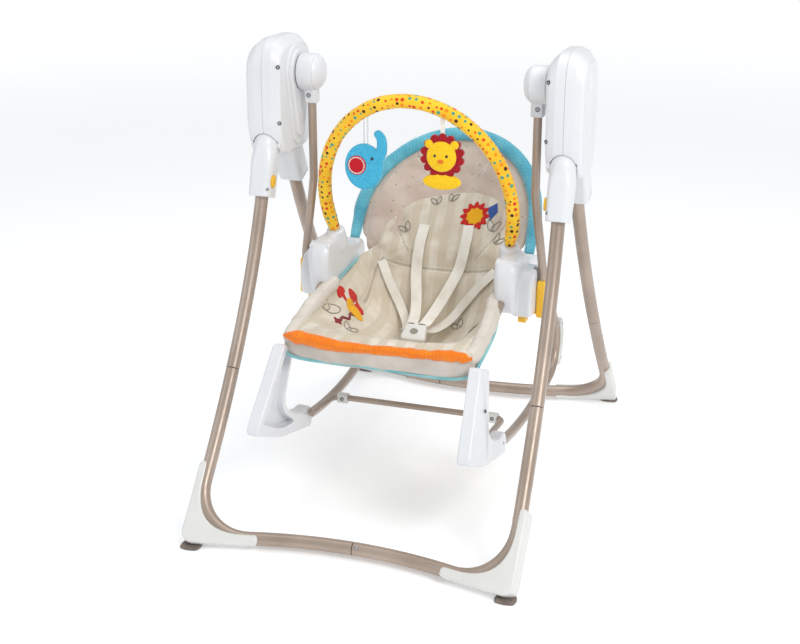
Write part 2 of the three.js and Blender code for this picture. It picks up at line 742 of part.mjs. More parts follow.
// Rail: from the pod down behind the seat, round the rear bend and forward along the rocker arc.
function railStations() {
  const [centreY, centreZ] = ROCKER_CENTRE;
  const { y: bendY, radius } = RAIL_BEND;
  const bendZ = centreZ - Math.sqrt((ROCKER_RADIUS - radius) ** 2 - (bendY - centreY) ** 2);
  const arcPoint = (degrees) =>
    new THREE.Vector3(
      RAIL_X.rear,
      bendY + radius * Math.cos(radians(degrees)),
      bendZ + radius * Math.sin(radians(degrees)),
    );
  const lead = arcPoint(45);
  const up = new THREE.Vector3(0, -1, 1).normalize();
  const top = lead.clone().addScaledVector(up, 196);
  const rocker = [170, 90, 10, -70, RAIL_END_Y].map(
    (y) => new THREE.Vector3(railX(y), y, centreZ - Math.sqrt(ROCKER_RADIUS ** 2 - (y - centreY) ** 2)),
  );
  const inPod = top.clone().addScaledVector(up, -16);
  return [top, inPod, lead, ...[15, -15, -45, -79].map(arcPoint), ...rocker];
}

function rearBumper() {
  const { y, radius } = RAIL_BEND;
  const z = ROCKER_CENTRE[1] - Math.sqrt((ROCKER_RADIUS - radius) ** 2 - (y - ROCKER_CENTRE[0]) ** 2);
  const crescent = new THREE.Shape()
    .absarc(y, z, radius + 19, radians(-42), radians(40))
    .absarc(y, z, radius - 3, radians(48), radians(-50), true);
  const body = acrossX(crescent, RAIL_X.rear - 13, RAIL_X.rear + 13, 3);
  return cut(body, tube(railStations(), RAIL_TUBE.outer + GAP));
}

// Rocker foot: a shank under the seat's front corner, with a long toe that holds the rail's end.
function rockerFoot() {
  const outline = outlineOf([
    [-290, 344, 8],
    [-378, 206, 14],
    [-275, 160, 30],
    [-128, 123, 8],
    [-116, 150, 12],
    [-134, 172, 12],
    [-160, 172, 12],
    [-196, 176, 30],
    [-252, 212, 30],
    [-238, 324, 9],
  ]);
  const { x, thickness } = ROCKER_FOOT;
  const body = acrossX(outline, x - thickness / 2, x + thickness / 2, 4);
  const railBore = tube(railStations().slice(-3), RAIL_TUBE.outer + GAP);
  const pinBore = bar([x - 20, ...KICKSTAND.pivot], [x - 6, ...KICKSTAND.pivot], 2.5 + GAP, 8);
  return cut(body, railBore, pinBore);
}

// Seat frame: forward from each pod, round the front corners and across.
function frameStations() {
  const [frontY, frontZ] = SEAT_FRONT;
  const start = [SEAT_SIDE_X, -58, 404];
  const corners = [
    start,
    [SEAT_SIDE_X, frontY, frontZ],
    [-SEAT_SIDE_X, frontY, frontZ],
    [-SEAT_SIDE_X, start[1], start[2]],
  ];
  const route = roundedRoute(corners, 28, 4);
  const inPod = route[0].clone().lerp(route[1], 0.17);
  const inOtherPod = route.at(-1).clone().lerp(route.at(-2), 0.17);
  return [route[0], inPod, ...route.slice(1, -1), inOtherPod, route.at(-1)];
}

// Kickstand: a folded prop between the rocker feet, with two blocks that reach the floor.
function kickstand() {
  const { x, pivot, bar: cross, pad } = KICKSTAND;
  const route = roundedRoute(
    [
      [x, ...pivot],
      [x, ...cross],
      [-x, ...cross],
      [-x, ...pivot],
    ],
    22,
    4,
  );
  const { outer, inner } = KICKSTAND_TUBE;
  const bore = tube(route, (outer + inner) / 2, 0, 8);
  const blocks = [-pad, pad].map((centre) =>
    cut(block([centre - 11, cross[0] - 9, cross[1] - 10], [centre + 11, cross[0] + 9, cross[1] + 8]), bore),
  );
  const pins = [-1, 1].map((side) =>
    bar([side * (x - 4), ...pivot], [side * (x + 12), ...pivot], 2.5, 8),
  );
  return join(tube(route, outer, inner, 8), ...blocks, ...pins);
}

// A closed sheet between an upper and a lower grid of points.
function sheetSolid(rows, columns, upper, lower) {
  const positions = [];
  const triangles = [];
  const at = (layer, row, column) => (layer * rows + row) * columns + column;
  for (const layer of [upper, lower]) {
    for (let row = 0; row < rows; row += 1) {
      for (let column = 0; column < columns; column += 1) {
        positions.push(...layer(row / (rows - 1), (2 * column) / (columns - 1) - 1));
      }
    }
  }
  const quad = (a, b, c, d) => triangles.push(a, b, c, a, c, d);
  for (let row = 0; row < rows - 1; row += 1) {
    for (let column = 0; column < columns - 1; column += 1) {
      const next = column + 1;
      quad(at(0, row, column), at(0, row, next), at(0, row + 1, next), at(0, row + 1, column));
      quad(at(1, row, column), at(1, row + 1, column), at(1, row + 1, next), at(1, row, next));
    }
    const last = columns - 1;
    quad(at(0, row, 0), at(0, row + 1, 0), at(1, row + 1, 0), at(1, row, 0));
    quad(at(0, row, last), at(1, row, last), at(1, row + 1, last), at(0, row + 1, last));
  }
  const end = rows - 1;
  for (let column = 0; column < columns - 1; column += 1) {
    const next = column + 1;
    quad(at(0, 0, column), at(1, 0, column), at(1, 0, next), at(0, 0, next));
    quad(at(0, end, column), at(0, end, next), at(1, end, next), at(1, end, column));
  }
  const geometry = new THREE.BufferGeometry();
  geometry.setAttribute("position", new THREE.Float32BufferAttribute(positions, 3));
  geometry.setIndex(triangles);
  return geometry;
}

// The sling's middle line and its raised side edge, front to back, as smooth curves in Y and Z.
const SLING = {
  middle: [
    [-262, 360],
    [-220, 354],
    [-130, 298],
    [-40, 270],
    [28, 272],
    [66, 318],
    [92, 374],
    [103, 398],
  ],
  edge: [
    [-262, 364],
    [-220, 366],
    [-130, 377],
    [-40, 394],
    [28, 404],
    [60, 408],
    [80, 410],
    [96, 412],
  ],
  halfWidth: 154,
  frontHalfWidth: 178,
  thickness: 20,
  frontThickness: 12,
};

// A point of the sling: layer 0 is its upper face and layer 1 its lower face.
function slingPoint(share, across, layer) {
  const line = (points) =>
    new THREE.SplineCurve(points.map((point) => new THREE.Vector2(...point)));
  const middle = line(SLING.middle).getPoint(share);
  const edge = line(SLING.edge).getPoint(share);
  const along = line(SLING.middle).getTangent(share);
  const lift = Math.abs(across) ** 3;
  const surface = middle.lerp(edge, lift);
  const widening = THREE.MathUtils.smoothstep(0.2 - share, 0, 0.2);
  const half = THREE.MathUtils.lerp(SLING.halfWidth, SLING.frontHalfWidth, widening);
  const depth = layer * THREE.MathUtils.lerp(SLING.thickness, SLING.frontThickness, widening);
  const inward = depth * lift;
  const y = surface.x + depth * along.y * (1 - 0.5 * lift);
  const z = surface.y - depth * along.x * (1 - 0.5 * lift);
  return [across * half - Math.sign(across) * inward * 0.2, y, z];
}

function seatPad() {
  const upper = (share, across) => slingPoint(share, across, 0);
  const lower = (share, across) => slingPoint(share, across, 1);
  return sheetSolid(12, 9, upper, lower);
}

// Harness buckle: a flat waist piece on the seat's middle with three slots for webbing.
function buckle() {
  const outline = outlineOf([
    [-26, -20, 8],
    [26, -20, 8],
    [20, 20, 8],
    [-20, 20, 8],
  ]);
  return slab(outline, 12, 3).rotateX(radians(38)).translate(0, -36, 306);
}

function addSeat() {
  addPair("seat_pod", pod(), WHITE_PLASTIC);
  addPair("seat_release_button", acrossX(releaseOutline(0), RELEASE.from, RELEASE.to, 1.2), YELLOW_PLASTIC);
  addPair("rocker_rail", tube(railStations(), RAIL_TUBE.outer, RAIL_TUBE.inner), TAUPE_METAL);
  addPair("rear_bumper", rearBumper(), WHITE_PLASTIC);
  addPair("rocker_foot", rockerFoot(), WHITE_PLASTIC);
  add("seat_frame", tube(frameStations(), SEAT_TUBE.outer, SEAT_TUBE.inner, 10), TAUPE_METAL);
  add("kickstand", kickstand(), TAUPE_METAL);
  add("seat_pad", seatPad(), SEAT_FABRIC);
  add("harness_buckle", buckle(), WHITE_PLASTIC);
}

// ---------------------------------------------------------------- reclining back
// The back is flat in its own plane: across, and up its slope from the recline pivot.
function backPlane() {
  const up = new THREE.Vector3(0, Math.sin(radians(BACK_LEAN)), Math.cos(radians(BACK_LEAN)));
  const normal = X_AXIS.clone().cross(up);
  return new THREE.Matrix4().makeBasis(X_AXIS, up, normal).setPosition(0, ...RECLINE_PIVOT);
}

function backFrame() {
  const start = LOBE_RADIUS + 1;
  const arc = Array.from({ length: 13 }, (_, i) => {
    const angle = (Math.PI * i) / 12;
    return [BACK_HALF_WIDTH * Math.cos(angle), BACK_SHOULDER + BACK_ROUND_HEIGHT * Math.sin(angle)];
  });
  const outline = [[BACK_HALF_WIDTH, start], ...arc, [-BACK_HALF_WIDTH, start]];
  const plane = backPlane();
  const stations = outline.map(([across, up]) => new THREE.Vector3(across, up, 0).applyMatrix4(plane));
  return tube(stations, SEAT_TUBE.outer, SEAT_TUBE.inner, 10);
}

function backPad() {
  const half = BACK_HALF_WIDTH - SEAT_TUBE.outer - 4;
  const rise = BACK_ROUND_HEIGHT - SEAT_TUBE.outer - 4;
  const outline = new THREE.Shape()
    .moveTo(-half + 30, 8)
    .lineTo(half - 30, 8)
    .quadraticCurveTo(half, 20, half, BACK_SHOULDER)
    .absellipse(0, BACK_SHOULDER, half, rise, 0, Math.PI)
    .quadraticCurveTo(-half, 20, -half + 30, 8);
  return slab(outline, 26, 6).translate(0, 0, -18).applyMatrix4(backPlane());
}

// ---------------------------------------------------------------- toy bar
// Share 0 is the right end, share 1 the left; the arch leans towards the front.
function toyBarPoint(share) {
  const { halfWidth, rise, shoulder, lean, foot } = TOY_BAR;
  const below = Math.asin(shoulder / rise);
  const angle = THREE.MathUtils.lerp(-below, Math.PI + below, share);
  const height = shoulder + rise * Math.sin(angle);
  return new THREE.Vector3(
    halfWidth * Math.cos(angle),
    foot[0] - height * Math.sin(radians(lean)),
    foot[1] + height * Math.cos(radians(lean)),
  );
}

function plugDirection() {
  return new THREE.Vector3(0, -Math.sin(radians(TOY_BAR.lean)), Math.cos(radians(TOY_BAR.lean)));
}

function toyBar() {
  const steps = 18;
  const stations = Array.from({ length: steps + 1 }, (_, i) => toyBarPoint(i / steps));
  const lean = plugDirection();
  const plugs = [stations[0], stations[steps]].map((end) => {
    const inBar = end.clone().addScaledVector(lean, 12);
    const inPod = end.clone().addScaledVector(lean, -TOY_PLUG.length);
    return bar(inBar.toArray(), inPod.toArray(), TOY_PLUG.radius, 10);
  });
  return join(tube(stations, TOY_BAR.radius), ...plugs);
}

// The point under the bar where a toy hangs.
function hangPoint(share) {
  const point = toyBarPoint(share);
  point.z -= TOY_BAR.radius + 8;
  return point;
}

const LION_SHARE = 0.405;
const ELEPHANT_SHARE = 0.62;
const TOY_THICKNESS = 14;

// A plush plate seen from the front: its outline is in X and Z.
function plushPlate(outline) {
  const frontView = new THREE.Matrix4().makeBasis(X_AXIS, Z_AXIS, Y_AXIS.clone().negate());
  return slab(outline, TOY_THICKNESS, 3).translate(0, 0, -TOY_THICKNESS / 2).applyMatrix4(frontView);
}

function lionToy() {
  const mane = new THREE.Shape().absarc(0, -58, 38, 0, 2 * Math.PI);
  const paws = outlineOf([
    [-34, -114, 14],
    [34, -114, 14],
    [34, -84, 12],
    [-34, -84, 12],
  ]);
  const strap = bar([0, 0, -30], [0, 0, 0], 3, 8);
  return join(plushPlate(mane), plushPlate(paws), strap).translate(...hangPoint(LION_SHARE).toArray());
}

function elephantToy() {
  const head = new THREE.Shape().absellipse(-4, -86, 32, 42, 0, 2 * Math.PI);
  const trunk = [
    [16, 0, -78],
    [30, 0, -66],
    [33, 0, -44],
    [24, 0, -30],
  ].map((point) => new THREE.Vector3(...point));
  const strap = bar([-4, 0, -60], [-4, 0, 0], 3, 8);
  const body = join(plushPlate(head), tube(trunk, 7, 0, 10), strap);
  return body.translate(...hangPoint(ELEPHANT_SHARE).toArray());
}

function addBackAndToys() {
  add("back_frame", backFrame(), TAUPE_METAL);
  add("back_pad", backPad(), SEAT_FABRIC);
  add("toy_bar", toyBar(), TOY_YELLOW);
  add("lion_toy", lionToy(), TOY_YELLOW);
  add("elephant_toy", elephantToy(), TOY_BLUE);
}

// ---------------------------------------------------------------- the finished object
addStand();
addFoldJoint();
addHousings();
addSwing();
addSeat();
addBackAndToys();

const box = new THREE.Box3().setFromObject(object);
object.position.set(-(box.min.x + box.max.x) / 2, -(box.min.y + box.max.y) / 2, -box.min.z);

export default object;
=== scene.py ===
# Baby swing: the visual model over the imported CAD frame.
# Shapes are worked out in millimetres with y = 0 in the plane of the swing arms, +Z up and the
# seat facing -Y, and are then placed in the row frame in metres.
import math

import bpy
import numpy as np
from mathutils import Matrix, Vector, noise
from mathutils.bvhtree import BVHTree


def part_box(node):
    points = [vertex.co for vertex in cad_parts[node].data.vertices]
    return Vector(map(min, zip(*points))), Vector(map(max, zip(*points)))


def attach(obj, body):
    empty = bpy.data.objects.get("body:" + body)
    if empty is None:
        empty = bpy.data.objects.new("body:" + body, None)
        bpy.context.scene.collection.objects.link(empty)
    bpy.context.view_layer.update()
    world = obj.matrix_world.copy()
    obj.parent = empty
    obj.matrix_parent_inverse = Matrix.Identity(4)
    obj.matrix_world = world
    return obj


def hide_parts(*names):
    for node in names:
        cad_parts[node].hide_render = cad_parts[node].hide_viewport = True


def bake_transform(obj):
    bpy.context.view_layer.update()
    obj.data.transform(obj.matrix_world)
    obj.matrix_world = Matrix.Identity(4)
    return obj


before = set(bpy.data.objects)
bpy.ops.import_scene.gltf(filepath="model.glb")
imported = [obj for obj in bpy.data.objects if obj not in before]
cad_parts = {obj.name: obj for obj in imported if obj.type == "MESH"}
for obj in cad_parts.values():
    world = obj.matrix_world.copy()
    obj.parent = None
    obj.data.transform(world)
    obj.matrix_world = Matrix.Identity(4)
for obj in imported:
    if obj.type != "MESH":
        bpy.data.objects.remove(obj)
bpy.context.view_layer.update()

# ------------------------------------------------------------------ driving dimensions
MM = 0.001
TINY = 1e-9
NO_SEAM = 99
hub_low, hub_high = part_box("hub_right")
ARM_PLANE_Y = (hub_low.y + hub_high.y) / 2

LEG_RADIUS = 12.5
ARM_RADIUS = 8
RAIL_RADIUS = 9.3
SEAT_RADIUS = 8
KICKSTAND_RADIUS = 6

LEG_TOP_X = 286
LEG_FOOT_X = 297
CROSSBAR_Z = 19
SOCKET_Z = 575
FRONT_LEG = {"top": (-98, SOCKET_Z), "bend": (-178, 317), "foot": (-437, CROSSBAR_Z)}
REAR_LEG = {"top": (60, SOCKET_Z), "bend": (191, 313), "foot": (484, CROSSBAR_Z)}
LEG_SEAM = 0.56
LEG_CORNER = 0.86
CROSSBAR_CORNER_X = 192
CROSSBAR_BOW = {"depth": 50, "reach": 270}
TUBE_INSERT = 40
TUBE_GAP = 0.8
SPIGOT_INSET = 1.5
REAR_JOINT_X = -90
COVER_INNER = 126
COVER_TOP = 138
COVER_THICKNESS = 34

FOLD_PIVOT = (-70.4, 664)
FRONT_LEAN = math.radians(17.2)
FOLD_ANGLE = math.radians(42)
SOCKET_X = 286
SOCKET_LENGTH = 98
FOLD_BUTTON_AT = (-8, -68)

HUB_Z = 795
HOUSING_SPLIT = 286
SHELL_GAP = 0.15
RIGHT_SHELL_TAPER = 38
HOUSING_EDGE = 330
DOOR = (-26, 676, 58, 724)
DOOR_GAP = 0.3
SWITCH_Z = 750
ARM_X = 220
ARM_FOOT_X = 240
ARM_CLEARANCE = 0.3

RECLINE_PIVOT = (108, 418)
BACK_LEAN = math.radians(35.5)
BACK_SHOULDER = 86
BACK_HALF_WIDTH = 183
BACK_ROUND_HEIGHT = 193
ROCKER_CENTRE = (60, 1205)
ROCKER_RADIUS = 1080
RAIL_BEND_Y = 238
RAIL_BEND_RADIUS = 62
BUMPER_RADIUS = 70.5
RAIL_REAR_X = 206
RAIL_FRONT_X = 196
RAIL_END_Y = -158
SEAT_SIDE_X = 178
SEAT_FRONT = (-243, 331)
ROCKER_FOOT_X = 196
KICKSTAND_X = 176.5
KICKSTAND_BLOCK_X = 156

TOY_BAR = {"half": 185, "rise": 215, "shoulder": 71, "lean": math.radians(16.6), "foot": (-6, 493)}
TOY_BAR_RADIUS = 13
TOY_BAR_SIDES = 44
LION_SHARE = 0.405
ELEPHANT_SHARE = 0.62


# ------------------------------------------------------------------ shapes
class Shape:
    """Points in millimetres and the faces between them. cloth holds a pattern position for each point:
    across and along the fabric in millimetres, and the distance to the nearest sewn seam."""

    def __init__(self, points, faces, cloth=None):
        self.points = np.asarray(points, float).reshape(-1, 3)
        self.faces = [tuple(face) for face in faces]
        self.cloth = None if cloth is None else np.asarray(cloth, float).reshape(-1, 3)

    def moved(self, matrix):
        turned = np.array(matrix, float)
        points = self.points @ turned[:3, :3].T + turned[:3, 3]
        return Shape(points, self.faces, self.cloth)

    def mirrored(self):
        faces = [face[::-1] for face in self.faces]
        return Shape(self.points * (-1, 1, 1), faces, self.cloth)

    def __add__(self, other):
        start = len(self.points)
        faces = self.faces + [tuple(i + start for i in face) for face in other.faces]
        cloth = None
        if self.cloth is not None and other.cloth is not None:
            cloth = np.vstack([self.cloth, other.cloth])
        return Shape(np.vstack([self.points, other.points]), faces, cloth)


def joined(shapes):
    whole = shapes[0]
    for shape in shapes[1:]:
        whole = whole + shape
    return whole


def to_row(points):
    return (np.asarray(points, float) + (0, ARM_PLANE_Y / MM, 0)) * MM


def lerp(a, b, share):
    return a + (b - a) * share


def smoothstep(value, low, high):
    share = min(max((value - low) / (high - low), 0), 1)
    return share * share * (3 - 2 * share)


def counterclockwise(outline):
    flat = np.asarray(outline, float)
    after = np.roll(flat, -1, axis=0)
    area = np.sum(flat[:, 0] * after[:, 1] - flat[:, 1] * after[:, 0])
    return flat if area > 0 else flat[::-1]


def rounded(corners, steps=8):
    """A closed outline through (a, b, trim) corners, each rounded over its trim length."""
    spots = [Vector(corner[:2]) for corner in corners]
    outline = []
    for i, (_, _, trim) in enumerate(corners):
        corner = spots[i]
        before = corner + (spots[i - 1] - corner).normalized() * trim
        after = corner + (spots[(i + 1) % len(spots)] - corner).normalized() * trim
        for step in range(steps + 1):
            t = step / steps
            outline.append(tuple(before * (1 - t) ** 2 + corner * 2 * t * (1 - t) + after * t * t))
    return outline


def box_outline(left, low, right, high):
    return [(left, low), (right, low), (right, high), (left, high)]


def rounded_box(left, low, right, high, trim):
    return rounded([(*corner, trim) for corner in box_outline(left, low, right, high)])


def ellipse(width, height, centre=(0, 0), sides=48):
    turns = [2 * math.pi * i / sides for i in range(sides)]
    return [(centre[0] + width * math.cos(t), centre[1] + height * math.sin(t)) for t in turns]


def superellipse(width, height, power=3, sides=40):
    outline = []
    for i in range(sides):
        t = 2 * math.pi * i / sides
        across, along = math.cos(t), math.sin(t)
        across = width * math.copysign(abs(across) ** (2 / power), across)
        along = height * math.copysign(abs(along) ** (2 / power), along)
        outline.append((across, along))
    return outline


def unit(vectors):
    return vectors / np.maximum(np.linalg.norm(vectors, axis=-1, keepdims=True), TINY)


def outward(flat):
    """Each outline point's outward direction, stretched at corners so that an inset stays even."""
    before = unit(flat - np.roll(flat, 1, axis=0))
    after = unit(np.roll(flat, -1, axis=0) - flat)
    mean = unit(before + after)
    normals = np.stack([mean[:, 1], -mean[:, 0]], axis=1)
    stretch = np.clip(np.sum(mean * after, axis=1), 0.6, 1)
    return normals / stretch[:, None]


def grid_faces(rows, columns, start=0):
    """Quads over a grid of points counted along its rows."""
    faces = []
    for i in range(rows - 1):
        for j in range(columns - 1):
            a = start + i * columns + j
            faces.append((a, a + 1, a + columns + 1, a + columns))
    return faces


def turned_over(faces):
    """The same quads seen from their other side, each from the same first corner."""
    return [(a, d, c, b) for a, b, c, d in faces]


def skin(rings, cap_start=True, cap_end=True):
    """Faces between rings of points that all run the same way round."""
    count = len(rings[0])
    faces = []
    for ring in range(len(rings) - 1):
        here, ahead = ring * count, (ring + 1) * count
        for i in range(count):
            j = (i + 1) % count
            faces.append((here + i, here + j, ahead + j, ahead + i))
    if cap_start:
        faces.append(tuple(reversed(range(count))))
    if cap_end:
        last = (len(rings) - 1) * count
        faces.append(tuple(range(last, last + count)))
    return Shape(np.vstack(rings), faces)


def layered(outline, profile, crown=0):
    """A solid across X from an outline in Y and Z. profile lists (x, inset) from one face to the other;
    crown swells both end faces."""
    flat = counterclockwise(outline)
    lean = outward(flat)
    centre = flat.mean(axis=0)
    rings = []
    shrink = (0.7, 0.45, 0.22, 0.06)
    flats = [(x, flat - lean * inset) for x, inset in profile]
    if crown:
        x, face = flats[0]
        rings += [(x - crown * (1 - s * s), centre + (face - centre) * s) for s in reversed(shrink)]
    rings += flats
    if crown:
        x, face = flats[-1]
        rings += [(x + crown * (1 - s * s), centre + (face - centre) * s) for s in shrink]
    return skin([np.column_stack([np.full(len(ring), x), ring]) for x, ring in rings])


def plate(outline, start, end, bevel, steps=4, crown=0):
    """An outline in Y and Z pushed through from one X to another, with round edges."""
    turns = [math.pi / 2 * i / steps for i in range(steps + 1)]
    profile = [(start + bevel * (1 - math.cos(t)), bevel * (1 - math.sin(t))) for t in turns]
    profile += [(end - bevel * (1 - math.cos(t)), bevel * (1 - math.sin(t))) for t in reversed(turns)]
    return layered(outline, profile, crown)


def lathe(profile, centre=(0, HUB_Z), sides=56):
    """A turned solid about an axis along X, from (x, radius) pairs."""
    circle = np.array(ellipse(1, 1, sides=sides))
    rings = []
    for x, radius in profile:
        ring = circle * max(radius, 0.05) + centre
        rings.append(np.column_stack([np.full(sides, x), ring]))
    return skin(rings)


def block(low, high, bevel=0.6, power=8):
    low, high = np.array(low, float), np.array(high, float)
    half = (high - low) / 2
    outline = superellipse(half[1], half[2], power, 48)
    shape = plate(outline, -half[0], half[0], bevel, 3)
    return shape.moved(Matrix.Translation((low + high) / 2))


def tangents(path):
    return unit(np.gradient(path, axis=0))


def transported(path, first=None):
    """A direction square to the path at each point, carried along it without twist."""
    along = tangents(path)
    guide = np.array(first if first is not None else (1, 0, 0), float)
    if abs(guide @ along[0]) > 0.95:
        guide = np.array((0, 0, 1.0))
    sides = []
    for tangent in along:
        guide = unit(guide - tangent * (guide @ tangent))
        sides.append(guide)
    return along, np.array(sides)


def sweep(path, section, scale=None, first=None, normals=None):
    """Carries a closed section of (side, out) offsets along a path, counting pattern lengths as it goes."""
    path = np.asarray(path, float)
    section = counterclockwise(section)
    along, sides = transported(path, first)
    if normals is not None:
        outs = np.asarray(normals, float)
        outs = unit(outs - along * np.sum(outs * along, axis=1, keepdims=True))
        sides = np.cross(outs, along)
    else:
        outs = np.cross(along, sides)
    steps = np.linalg.norm(np.diff(path, axis=0), axis=1)
    length = np.concatenate([[0], np.cumsum(steps)])
    rim = np.linalg.norm(np.roll(section, -1, axis=0) - section, axis=1)
    around = np.concatenate([[0], np.cumsum(rim)[:-1]])
    rings, cloth = [], []
    for i, point in enumerate(path):
        size = np.ones(2) if scale is None else np.ones(2) * scale(i / (len(path) - 1))
        sized = section * size
        rings.append(point + sized[:, :1] * sides[i] + sized[:, 1:] * outs[i])
        along_here, seam = np.full(len(section), length[i]), np.full(len(section), NO_SEAM)
        cloth.append(np.column_stack([around, along_here, seam]))
    shape = skin(rings)
    shape.cloth = np.vstack(cloth)
    return shape


def tube(path, radius, sides=28):
    """A round tube whose ends have a small worn edge."""
    edge = 0.7
    path = np.asarray(path, float)
    ahead = tangents(path)
    ends = [path[0], path[0] + ahead[0] * edge, path[-1] - ahead[-1] * edge, path[-1]]
    route = np.vstack([ends[0], ends[1], path[1:-1], ends[2], ends[3]])
    last = len(route) - 1
    narrow = 1 - edge / radius
    section = ellipse(radius, radius, sides=sides)
    return sweep(route, section, lambda share: narrow if round(share * last) in (0, last) else 1)


def waved(shape, sides, change):
    """Moves each point of a sweep out from its ring's middle by its own share of change."""
    rings = shape.points.reshape(-1, sides, 3)
    middle = rings.mean(axis=1, keepdims=True)
    spread = rings - middle
    reach = np.maximum(np.linalg.norm(spread, axis=2), 1e-6)
    shape.points = (middle + spread * (1 + change / reach)[..., None]).reshape(-1, 3)


def quadratic(a, b, c, share):
    return np.array(a) * (1 - share) ** 2 + np.array(b) * 2 * share * (1 - share) + np.array(c) * share**2


def cubic(a, b, c, d, share):
    rest = 1 - share
    return a * rest**3 + b * 3 * share * rest**2 + c * 3 * share**2 * rest + d * share**3


def smooth_line(points, share):
    """A point of the smooth curve through a few points, evenly shared between them."""
    points = np.asarray(points, float)
    place = min(max(share, 0), 1) * (len(points) - 1)
    span = min(int(place), len(points) - 2)
    t = place - span
    before = points[max(span - 1, 0)]
    start, end = points[span], points[span + 1]
    beyond = points[min(span + 2, len(points) - 1)]
    v0, v1 = (end - before) / 2, (beyond - start) / 2
    third = (2 * start - 2 * end + v0 + v1) * t**3
    return third + (-3 * start + 3 * end - 2 * v0 - v1) * t**2 + v0 * t + start


def smooth_path(points, count):
    return np.array([smooth_line(points, i / (count - 1)) for i in range(count)])


def rounded_route(corners, radius, steps=12):
    """Straight runs whose corners are rounded to a radius."""
    spots = [Vector(corner) for corner in corners]
    path = [spots[0]]
    for before, corner, after in zip(spots, spots[1:], spots[2:]):
        back, ahead = (before - corner).normalized(), (after - corner).normalized()
        half = back.angle(ahead) / 2
        start = corner + back * (radius / math.tan(half))
        end = corner + ahead * (radius / math.tan(half))
        pull = 4 / 3 * math.tan((math.pi / 2 - half) / 2) * radius
        for i in range(steps + 1):
            path.append(cubic(start, start - back * pull, end - ahead * pull, end, i / steps))
    path.append(spots[-1])
    return np.array(path)


# ------------------------------------------------------------------ mesh objects
def linked(name, mesh):
    obj = bpy.data.objects.new(name, mesh)
    bpy.context.scene.collection.objects.link(obj)
    return obj


def mesh_of(name, shape, points=None):
    mesh = bpy.data.meshes.new(name)
    mesh.from_pydata((shape.points if points is None else points).tolist(), [], shape.faces)
    if shape.cloth is not None:
        pattern = mesh.attributes.new("cloth", "FLOAT_VECTOR", "POINT")
        pattern.data.foreach_set("vector", shape.cloth.astype(np.float32).ravel())
    mesh.update()
    return mesh


def evaluated(obj):
    graph = bpy.context.evaluated_depsgraph_get()
    return bpy.data.meshes.new_from_object(obj.evaluated_get(graph))


def discard(obj):
    mesh = obj.data
    bpy.data.objects.remove(obj)
    bpy.data.meshes.remove(mesh)


def shape_of(mesh):
    points = np.empty(len(mesh.vertices) * 3)
    mesh.vertices.foreach_get("co", points)
    return Shape(points, [tuple(face.vertices) for face in mesh.polygons])


def booleaned(shape, tools, operation):
    """Cuts, joins or keeps the common part of closed shapes."""
    body = linked("body", mesh_of("body", shape))
    others = []
    for tool in tools:
        other = linked("tool", mesh_of("tool", tool))
        modifier = body.modifiers.new("boolean", "BOOLEAN")
        modifier.operation = operation
        modifier.solver = "EXACT"
        modifier.object = other
        others.append(other)
    bpy.context.view_layer.update()
    mesh = evaluated(body)
    result = shape_of(mesh)
    bpy.data.meshes.remove(mesh)
    for obj in [body, *others]:
        discard(obj)
    return result


def cut(shape, *tools):
    return booleaned(shape, tools, "DIFFERENCE")


def union(shape, *others):
    return booleaned(shape, others, "UNION")


def moulded(shape, voxel, smoothing):
    """Melts overlapping closed shapes into one body with soft fillets."""
    body = linked("body", mesh_of("body", shape))
    remesh = body.modifiers.new("remesh", "REMESH")
    remesh.mode = "VOXEL"
    remesh.voxel_size = voxel
    soften = body.modifiers.new("soften", "SMOOTH")
    soften.factor = 0.5
    soften.iterations = smoothing
    bpy.context.view_layer.update()
    mesh = evaluated(body)
    result = shape_of(mesh)
    bpy.data.meshes.remove(mesh)
    discard(body)
    return result


def stuffed(shape, pins, cap, pressure=4.0, slack=0.02):
    """Stuffs a closed fabric shell: a cloth simulation with air pressure inside. Pinned points stay, and no
    point moves further than cap millimetres."""
    obj = linked("cloth", mesh_of("cloth", shape, shape.points * MM))
    group = obj.vertex_groups.new(name="pins")
    for weight in sorted(set(np.round(pins, 2))):
        members = [int(i) for i in np.nonzero(np.round(pins, 2) == weight)[0]]
        group.add(members, float(weight), "REPLACE")
    cloth = obj.modifiers.new("cloth", "CLOTH")
    settings = cloth.settings
    settings.quality = 6
    settings.mass = 0.25
    settings.tension_stiffness = 12
    settings.compression_stiffness = 12
    settings.shear_stiffness = 6
    settings.bending_stiffness = 0.4
    settings.shrink_min = -slack
    settings.use_pressure = True
    settings.uniform_pressure_force = pressure
    settings.vertex_group_mass = "pins"
    settings.pin_stiffness = 1
    settings.effector_weights.gravity = 0
    cloth.collision_settings.use_collision = False
    cloth.point_cache.frame_start = 1
    cloth.point_cache.frame_end = 20
    scene = bpy.context.scene
    for number in range(1, 21):
        scene.frame_set(number)
    mesh = evaluated(obj)
    after = shape_of(mesh).points / MM
    bpy.data.meshes.remove(mesh)
    discard(obj)
    scene.frame_set(1)
    move = np.nan_to_num(after - shape.points)
    distance = np.linalg.norm(move, axis=1, keepdims=True)
    limited = cap * np.tanh(distance / cap)
    points = shape.points + move * limited / np.maximum(distance, 1e-6)
    return Shape(points, shape.faces, shape.cloth)


def apply_modifiers(obj):
    bpy.context.view_layer.update()
    made = evaluated(obj)
    before = obj.data
    obj.modifiers.clear()
    obj.data = made
    bpy.data.meshes.remove(before)
    made.name = obj.name


